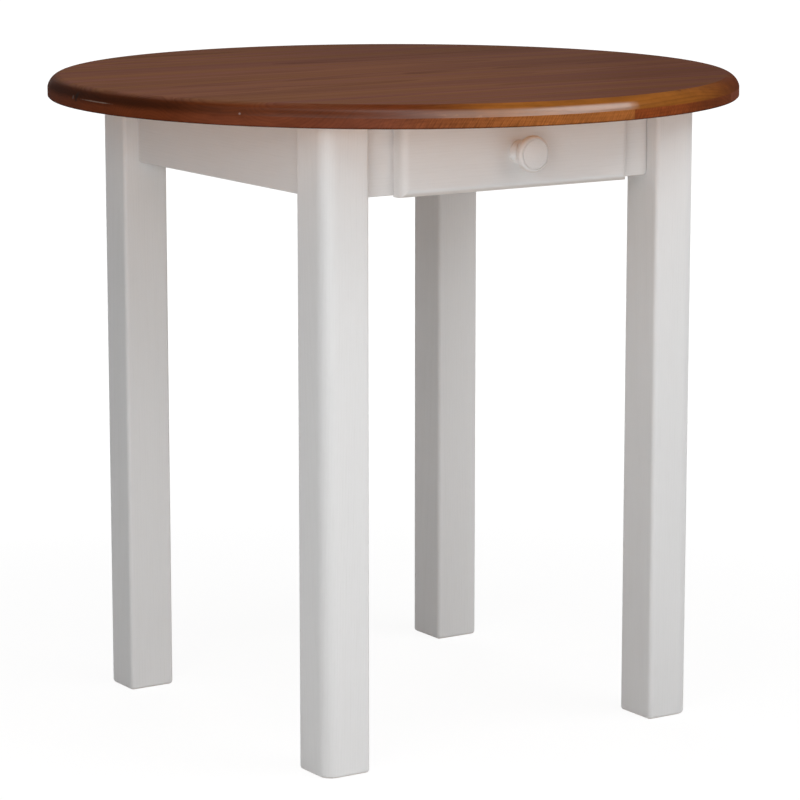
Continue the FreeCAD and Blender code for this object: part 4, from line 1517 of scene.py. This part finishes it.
    def dowel_shop(self) -> Shop:
        """Draw a fluted dowel with broken ends.

        Returns:
            Its tree.
        """
        shop = Shop("fluted_dowel", ("Length", "Width", "Flute"))
        length, width, flute = (shop.size(name) for name in ("Length", "Width", "Flute"))
        broken = width * self.dowel_break
        middle = shop.rod(shop.radius("Width"), broken, length - broken * 2.0)
        groove = shop.add("GeometryNodeInputIndex").math("MODULO", 2.0) * flute
        inward = shop.stretched(shop.add("GeometryNodeInputPosition"), (-1.0, -1.0, 0.0))
        inward = shop.add("ShaderNodeVectorMath", {"operation": "SCALE"}, {0: inward, "Scale": groove})
        fluted = shop.add("GeometryNodeSetPosition", None, {"Geometry": middle, "Offset": inward})
        end, shoulder = width * self.dowel_end, width * self.dowel_shoulder
        low = shop.taper(end, shoulder, 0.0, broken)
        high = shop.taper(shoulder, end, length - broken, broken)
        shop.deliver(shop.joined([fluted, low, high]))
        return shop

    def dowels(self, shop: Shop, node: str) -> bpy.types.Object:
        """Make the dowels of one CAD node.

        Args:
            shop: The dowel's tree.
            node: The CAD node.

        Returns:
            The piece.
        """
        seats = seats_of(node)
        sizes = {"Length": seats[0].length, "Width": seats[0].width, "Flute": self.dowel_flute}
        return self.placed(shop.run(f"{node}_fluted", seats, self.beech, sizes), node, "beech")


def dress(node: str, material: bpy.types.Material) -> None:
    """Give a CAD node its finish.

    Args:
        node: The CAD node.
        material: The finish.
    """
    slots = bpy.data.objects[node].data.materials
    slots.clear()
    slots.append(material)
    log.info("%s: %s", node, material.name)


def dress_boards(grains: Mapping[str, Grain], finish: WhitePaint | BarePine, label: str) -> None:
    """Give CAD nodes a finish each, with the fibres along their length.

    Args:
        grains: The way that the fibres run in each node.
        finish: The finish.
        label: What the materials' names start with.
    """
    for node, grain in grains.items():
        dress(node, finish.material(f"{label}_{node}", Board.of_node(node, grain)))


@dataclass
class Top:
    """The round top of nine staves.

    Attributes:
        finish: The stain.
        staves: The staves from the front to the back.
    """

    # Painted highlight: a pale, thin line along the rim's left end, where the round meets the band.
    PAINTED_HIGHLIGHT = Mark((-0.3990, -0.016, 0.7376), (0.012, 0.036, 0.0009), (0.30, 0.22, 0.18), 0.55)
    KNOT = Mark((-0.3988, 0.0314, 0.7395), (0.020, 0.0052, 0.0070), (0.022, 0.012, 0.009), 0.85)
    RESIN = Mark((-0.3985, 0.0400, 0.7380), (0.010, 0.0032, 0.0032), (0.110, 0.080, 0.070), 0.7)
    SPECK = Mark((-0.3354, -0.2178, 0.7384), (0.0017, 0.0017, 0.0017), (0.32, 0.22, 0.20), 0.75)

    finish: StainedPine = field(default_factory=StainedPine)
    staves: tuple[Stave, ...] = (
        Stave(0.91, joint=0.0522), Stave(0.98), Stave(0.94, (SPECK,)), Stave(1.04, (PAINTED_HIGHLIGHT,)),
        Stave(0.97, (KNOT, RESIN, PAINTED_HIGHLIGHT)), Stave(1.06), Stave(0.95), Stave(1.0), Stave(0.96),
    )

    def build(self) -> None:
        """Dress every stave."""
        for number, stave in enumerate(self.staves, start=1):
            node = f"top_stave_{number}"
            board = Board.of_node(node, Grain.ALONG_X)
            dress(node, self.finish.material(f"stained_pine_{number}", board, stave))


@dataclass
class PaintedFrame:
    """The legs and aprons.

    Attributes:
        finish: The paint.
    """

    finish: WhitePaint = field(default_factory=WhitePaint)

    def build(self) -> None:
        """Dress the legs and aprons, each with the fibres along its length."""
        grains = {f"leg_{corner}": Grain.UPRIGHT for corner in CORNERS}
        grains |= {"apron_front": Grain.ALONG_X, "apron_back": Grain.ALONG_X}
        grains |= {"apron_left": Grain.ALONG_Y, "apron_right": Grain.ALONG_Y}
        dress_boards(grains, self.finish, "white_paint")


@dataclass
class Underframe:
    """What holds the top, the legs and the drawer from below.

    Attributes:
        finish: The planed wood.
    """

    finish: BarePine = field(default_factory=BarePine)

    def build(self) -> None:
        """Dress the blocks, battens, cleats and runners."""
        grains = {"corner_block_front_left": Grain.FALLING, "corner_block_back_right": Grain.FALLING,
                  "corner_block_front_right": Grain.RISING, "corner_block_back_left": Grain.RISING,
                  "cleat_back": Grain.ALONG_X}
        for side in ("left", "right"):
            for name in ("cross_batten", "cleat", "drawer_runner"):
                grains[f"{name}_{side}"] = Grain.ALONG_Y
        dress_boards(grains, self.finish, "bare_pine")


@dataclass
class TurnedKnob:
    """The knob, turned from one piece: a flared foot, a slim neck and a head with a ring cut into its face.

    Attributes:
        finish: The paint.
        foot: The width of the foot, as all these sizes in millimetres.
        foot_height: The height of the foot's edge.
        neck: The width of the neck.
        neck_height: Where the neck is slimmest.
        neck_sweep: The radius of the neck's hollow.
        shoulder: The width where the hollow ends.
        shoulder_height: Where the hollow ends.
        back_round: The radius of the head's back.
        widest: Where the head is widest.
        rim_round: The radius of the head's rim.
        face_margin: The distance from the head's outline to the ring.
        face_rise: How far the face stands up in its middle.
        ring_width: The width of the ring.
        ring_depth: The depth of the ring.
        bore: The width of the screw's hole.
    """

    finish: bpy.types.Material
    foot: float = 25.0
    foot_height: float = 2.5
    neck: float = 16.0
    neck_height: float = 10.0
    neck_sweep: float = 9.0
    shoulder: float = 24.0
    shoulder_height: float = 18.0
    back_round: float = 10.8
    widest: float = 28.5
    rim_round: float = 4.5
    face_margin: float = 3.3
    face_rise: float = 1.2
    ring_width: float = 1.4
    ring_depth: float = 1.0
    bore: float = 4.2

    def profile(self, width: float, height: float, depth: float) -> list[complex]:
        """Draw the knob's half outline, from the bottom of the screw's hole to the middle of the face.

        Args:
            width: The width of the head.
            height: The height of the whole knob.
            depth: The depth of the screw's hole.

        Returns:
            The points, with the distance from the axis as the real part.
        """
        hole = self.bore / 2
        ring_outer = width / 2 - self.face_margin
        ring_inner = ring_outer - self.ring_width
        face = height - self.face_rise
        dome = (ring_inner ** 2 + self.face_rise ** 2) / (2 * self.face_rise)
        foot = complex(self.foot / 2, self.foot_height)
        neck = complex(self.neck / 2, self.neck_height)
        shoulder = complex(self.shoulder / 2, self.shoulder_height)
        rim = complex(width / 2, self.widest)
        lip = complex(ring_outer, face)
        points = [complex(0, depth), complex(hole, depth), complex(hole, 0), complex(foot.real, 0), foot]
        points += swept(foot, neck, self.neck_sweep, hollow=True)
        points += swept(neck, shoulder, self.neck_sweep, hollow=True)
        points += swept(shoulder, rim, self.back_round)
        points += swept(rim, lip, self.rim_round)
        inner = complex(ring_inner, face)
        points += [lip - 1j * self.ring_depth, inner - 1j * self.ring_depth, inner]
        return points + swept(inner, complex(0, height), dome)

    def build(self) -> bpy.types.Object:
        """Turn the knob and set it on the drawer front.

        Returns:
            The piece.
        """
        low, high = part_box("knob")
        tip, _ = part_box("knob_screw")
        sizes = (high[0] - low[0], high[1] - low[1], high[1] - tip[1])
        points = self.profile(*(size / MILLIMETRE for size in sizes))
        profile = [point * MILLIMETRE for point in points]
        lathe = Lathe("turned_knob", len(profile))
        places = {"Face": float(high[1]), "Level": float(low[2] + high[2]) / 2}
        piece = lathe.turn("knob_turned", profile, self.finish, places)
        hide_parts("knob")
        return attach(piece, "drawer")


@dataclass
class Drawer:
    """The drawer with its painted front and knob.

    Attributes:
        paint: The finish of what shows.
        wood: The finish of the box.
        panel: The finish of the bottom.
    """

    paint: WhitePaint = field(default_factory=WhitePaint)
    wood: BarePine = field(default_factory=BarePine)
    panel: Fibreboard = field(default_factory=Fibreboard)

    def build(self) -> None:
        """Dress the front, the knob, the box and the bottom."""
        dress_boards({"drawer_front": Grain.ALONG_X}, self.paint, "white_paint")
        stock = Board.of_node("knob", Grain.ALONG_Y)
        knob = TurnedKnob(self.paint.material("white_paint_knob", stock)).build()
        log.info("%s: %d faces", knob.name, len(knob.data.polygons))
        grains = {"drawer_side_left": Grain.ALONG_Y, "drawer_side_right": Grain.ALONG_Y,
                  "drawer_back": Grain.ALONG_X, "drawer_stop_batten": Grain.ALONG_X}
        dress_boards(grains, self.wood, "bare_pine")
        dress("drawer_bottom", self.panel.material("pressed_fibreboard"))


@dataclass(frozen=True)
class Softbox:
    """A soft lamp that looks at the table.

    Attributes:
        name: The lamp's name.
        azimuth: Where it stands, in degrees round from the drawer's front towards the right.
        elevation: How high it stands, in degrees.
        distance: How far it stands from the point that it looks at.
        size: Its width and height.
        power: Its power in watts.
        aim: The point that it looks at.
    """

    name: str
    azimuth: float
    elevation: float
    distance: float
    size: Range
    power: float
    aim: Triple

    def hang(self) -> None:
        """Put the lamp in the scene."""
        lamp = bpy.data.lights.new(self.name, "AREA")
        lamp.shape = "RECTANGLE"
        lamp.size, lamp.size_y = self.size
        lamp.energy = self.power
        turn, rise = math.radians(self.azimuth), math.radians(self.elevation)
        away = Vector((math.sin(turn) * math.cos(rise), -math.cos(turn) * math.cos(rise), math.sin(rise)))
        holder = bpy.data.objects.new(self.name, lamp)
        holder.location = Vector(self.aim) + away * self.distance
        holder.rotation_euler = (-away).to_track_quat("-Z", "Y").to_euler()
        bpy.context.scene.collection.objects.link(holder)


@dataclass
class Studio:
    """The floor, the lamps, the white surroundings and the camera.

    Attributes:
        lamps: The soft lamps.
        ambient: The level of the light from all round.
        floor_reach: How far the floor reaches from the table.
        floor_tones: The two tones that the floor is mottled with.
        floor_mottle: The pattern of the mottle.
        floor_glow: How much of the floor's own shade the camera doesn't see.
        floor_level: How bright the floor is to look at, so that it is white where no shadow falls.
        shadow_reach: How far from the middle the floor's shade begins to fade, and where it is gone.
        eye: Where the camera stands.
        yaw: The way it looks, in radians from +Y towards +X.
        pitch: How far it looks up, in radians.
        lens: Its focal length on the sensor, both in millimetres.
        sensor: The sensor's width.
    """

    lamps: tuple[Softbox, ...] = (
        Softbox("key_softbox", 45.0, 38.0, 3.0, (1.7, 1.7), 31.0, (0.0, 0.0, 0.74)),
        Softbox("upper_softbox", -80.0, 76.0, 2.6, (1.4, 1.4), 25.7, (0.0, 0.0, 0.74)),
        Softbox("near_softbox", -38.0, 12.0, 1.5, (0.7, 0.7), 5.2, (-0.15, -0.15, 0.45)),
        Softbox("side_softbox", -60.0, 25.0, 2.4, (1.0, 1.0), 8.3, (0.0, 0.0, 0.5)),
        Softbox("right_softbox", 15.0, 22.0, 2.6, (1.2, 1.2), 9.8, (0.1, 0.0, 0.4)),
        Softbox("front_softbox", -2.0, 40.0, 3.0, (2.4, 1.6), 11.0, (0.0, 0.0, 0.74)),
        Softbox("rear_softbox", 155.0, 18.0, 3.2, (1.8, 1.4), 22.0, (0.0, 0.0, 0.5)),
    )
    ambient: float = 0.027
    floor_reach: float = 40.0
    floor_tones: tuple[Colour, Colour] = ((0.80, 0.80, 0.80), (0.82, 0.82, 0.82))
    floor_mottle: Pattern = Pattern.even(3.0)
    floor_glow: float = 0.85
    floor_level: float = 1.08
    shadow_reach: Range = (0.7, 1.8)
    eye: Triple = (-2.17437, -3.35084, 1.11037)
    yaw: float = 0.57751
    pitch: float = -0.18525
    lens: float = 154.77
    sensor: float = 36.0

    def build(self) -> None:
        """Set up the whole studio."""
        self.surround()
        self.lay_floor()
        for lamp in self.lamps:
            lamp.hang()
        self.stand_camera()
        bpy.context.scene.view_settings.view_transform = "Standard"

    @staticmethod
    def seen_directly(graph: Graph) -> Wire:
        """Tell what the camera sees from light on its way.

        Args:
            graph: The tree that asks.

        Returns:
            1 for what the camera sees, also in a mirror or through glass, and 0 for light on its way.
        """
        path = graph.add("ShaderNodeLightPath")
        seen = path.output("Is Camera Ray").math("MAXIMUM", path.output("Is Glossy Ray"))
        return seen.math("MAXIMUM", path.output("Is Transmission Ray"))

    def surround(self) -> None:
        """Make the world white to look at, and a soft even light."""
        world = bpy.data.worlds.new("studio")
        world.use_nodes = True
        bpy.context.scene.world = world
        graph = Graph(world.node_tree)
        level = self.ambient + self.seen_directly(graph) * (1.0 - self.ambient)
        light = graph.add("ShaderNodeBackground", None, {"Color": WHITE, "Strength": level})
        graph.add("ShaderNodeOutputWorld", None, {"Surface": light})

    def lay_floor(self) -> None:
        """Lay the pale floor, white to look at but for the table's soft shadow, and clear from below."""
        reach = self.floor_reach
        mesh = bpy.data.meshes.new("floor")
        corners = [(-reach, -reach, 0), (reach, -reach, 0), (reach, reach, 0), (-reach, reach, 0)]
        mesh.from_pydata(corners, [], [(0, 1, 2, 3)])
        floor = bpy.data.objects.new("floor", mesh)
        bpy.context.scene.collection.objects.link(floor)
        surface = Surface("pale_floor")
        tone = surface.blend(surface.noise(self.floor_mottle, surface.point), *self.floor_tones)
        matt = surface.add("ShaderNodeBsdfDiffuse", None, {"Color": tone})
        glow = surface.add("ShaderNodeEmission", None, {"Color": WHITE, "Strength": self.floor_level})
        faded = surface.length(surface.point).step(*self.shadow_reach)
        share = self.floor_glow + faded * (1.0 - self.floor_glow)
        share = share * self.seen_directly(surface)
        mixed = surface.add("ShaderNodeMixShader", None, {0: share, 1: matt, 2: glow})
        below = surface.add("ShaderNodeNewGeometry").output("Backfacing")
        clear = surface.add("ShaderNodeBsdfTransparent")
        mixed = surface.add("ShaderNodeMixShader", None, {0: below, 1: mixed, 2: clear})
        surface.add("ShaderNodeOutputMaterial", None, {"Surface": mixed})
        mesh.materials.append(surface.material)

    def stand_camera(self) -> None:
        """Stand the camera where the photograph was taken from."""
        camera = bpy.data.cameras.new("camera")
        camera.lens = self.lens
        camera.sensor_width = self.sensor
        holder = bpy.data.objects.new("camera", camera)
        holder.location = self.eye
        level = math.cos(self.pitch)
        ahead = Vector((math.sin(self.yaw) * level, math.cos(self.yaw) * level, math.sin(self.pitch)))
        holder.rotation_euler = ahead.to_track_quat("-Z", "Y").to_euler()
        bpy.context.scene.collection.objects.link(holder)
        bpy.context.scene.camera = holder


def main() -> None:
    """Load the frame, dress every piece, set up the studio and log the finishes and face counts."""
    logging.basicConfig(level=logging.INFO, format="%(message)s")
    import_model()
    Top().build()
    PaintedFrame().build()
    Underframe().build()
    Drawer().build()
    steel = ZincSteel().material("plated_steel")
    beech = Beech().material("turned_beech", Board.of_node("apron_dowels", Grain.ALONG_X))
    for node in ("knob_screw", "drawer_bottom_pins"):
        dress(node, steel)
    for piece in Fasteners(steel, beech).build():
        log.info("%s: %d faces", piece.name, len(piece.data.polygons))
    Studio().build()


if __name__ == "__main__":
    main()
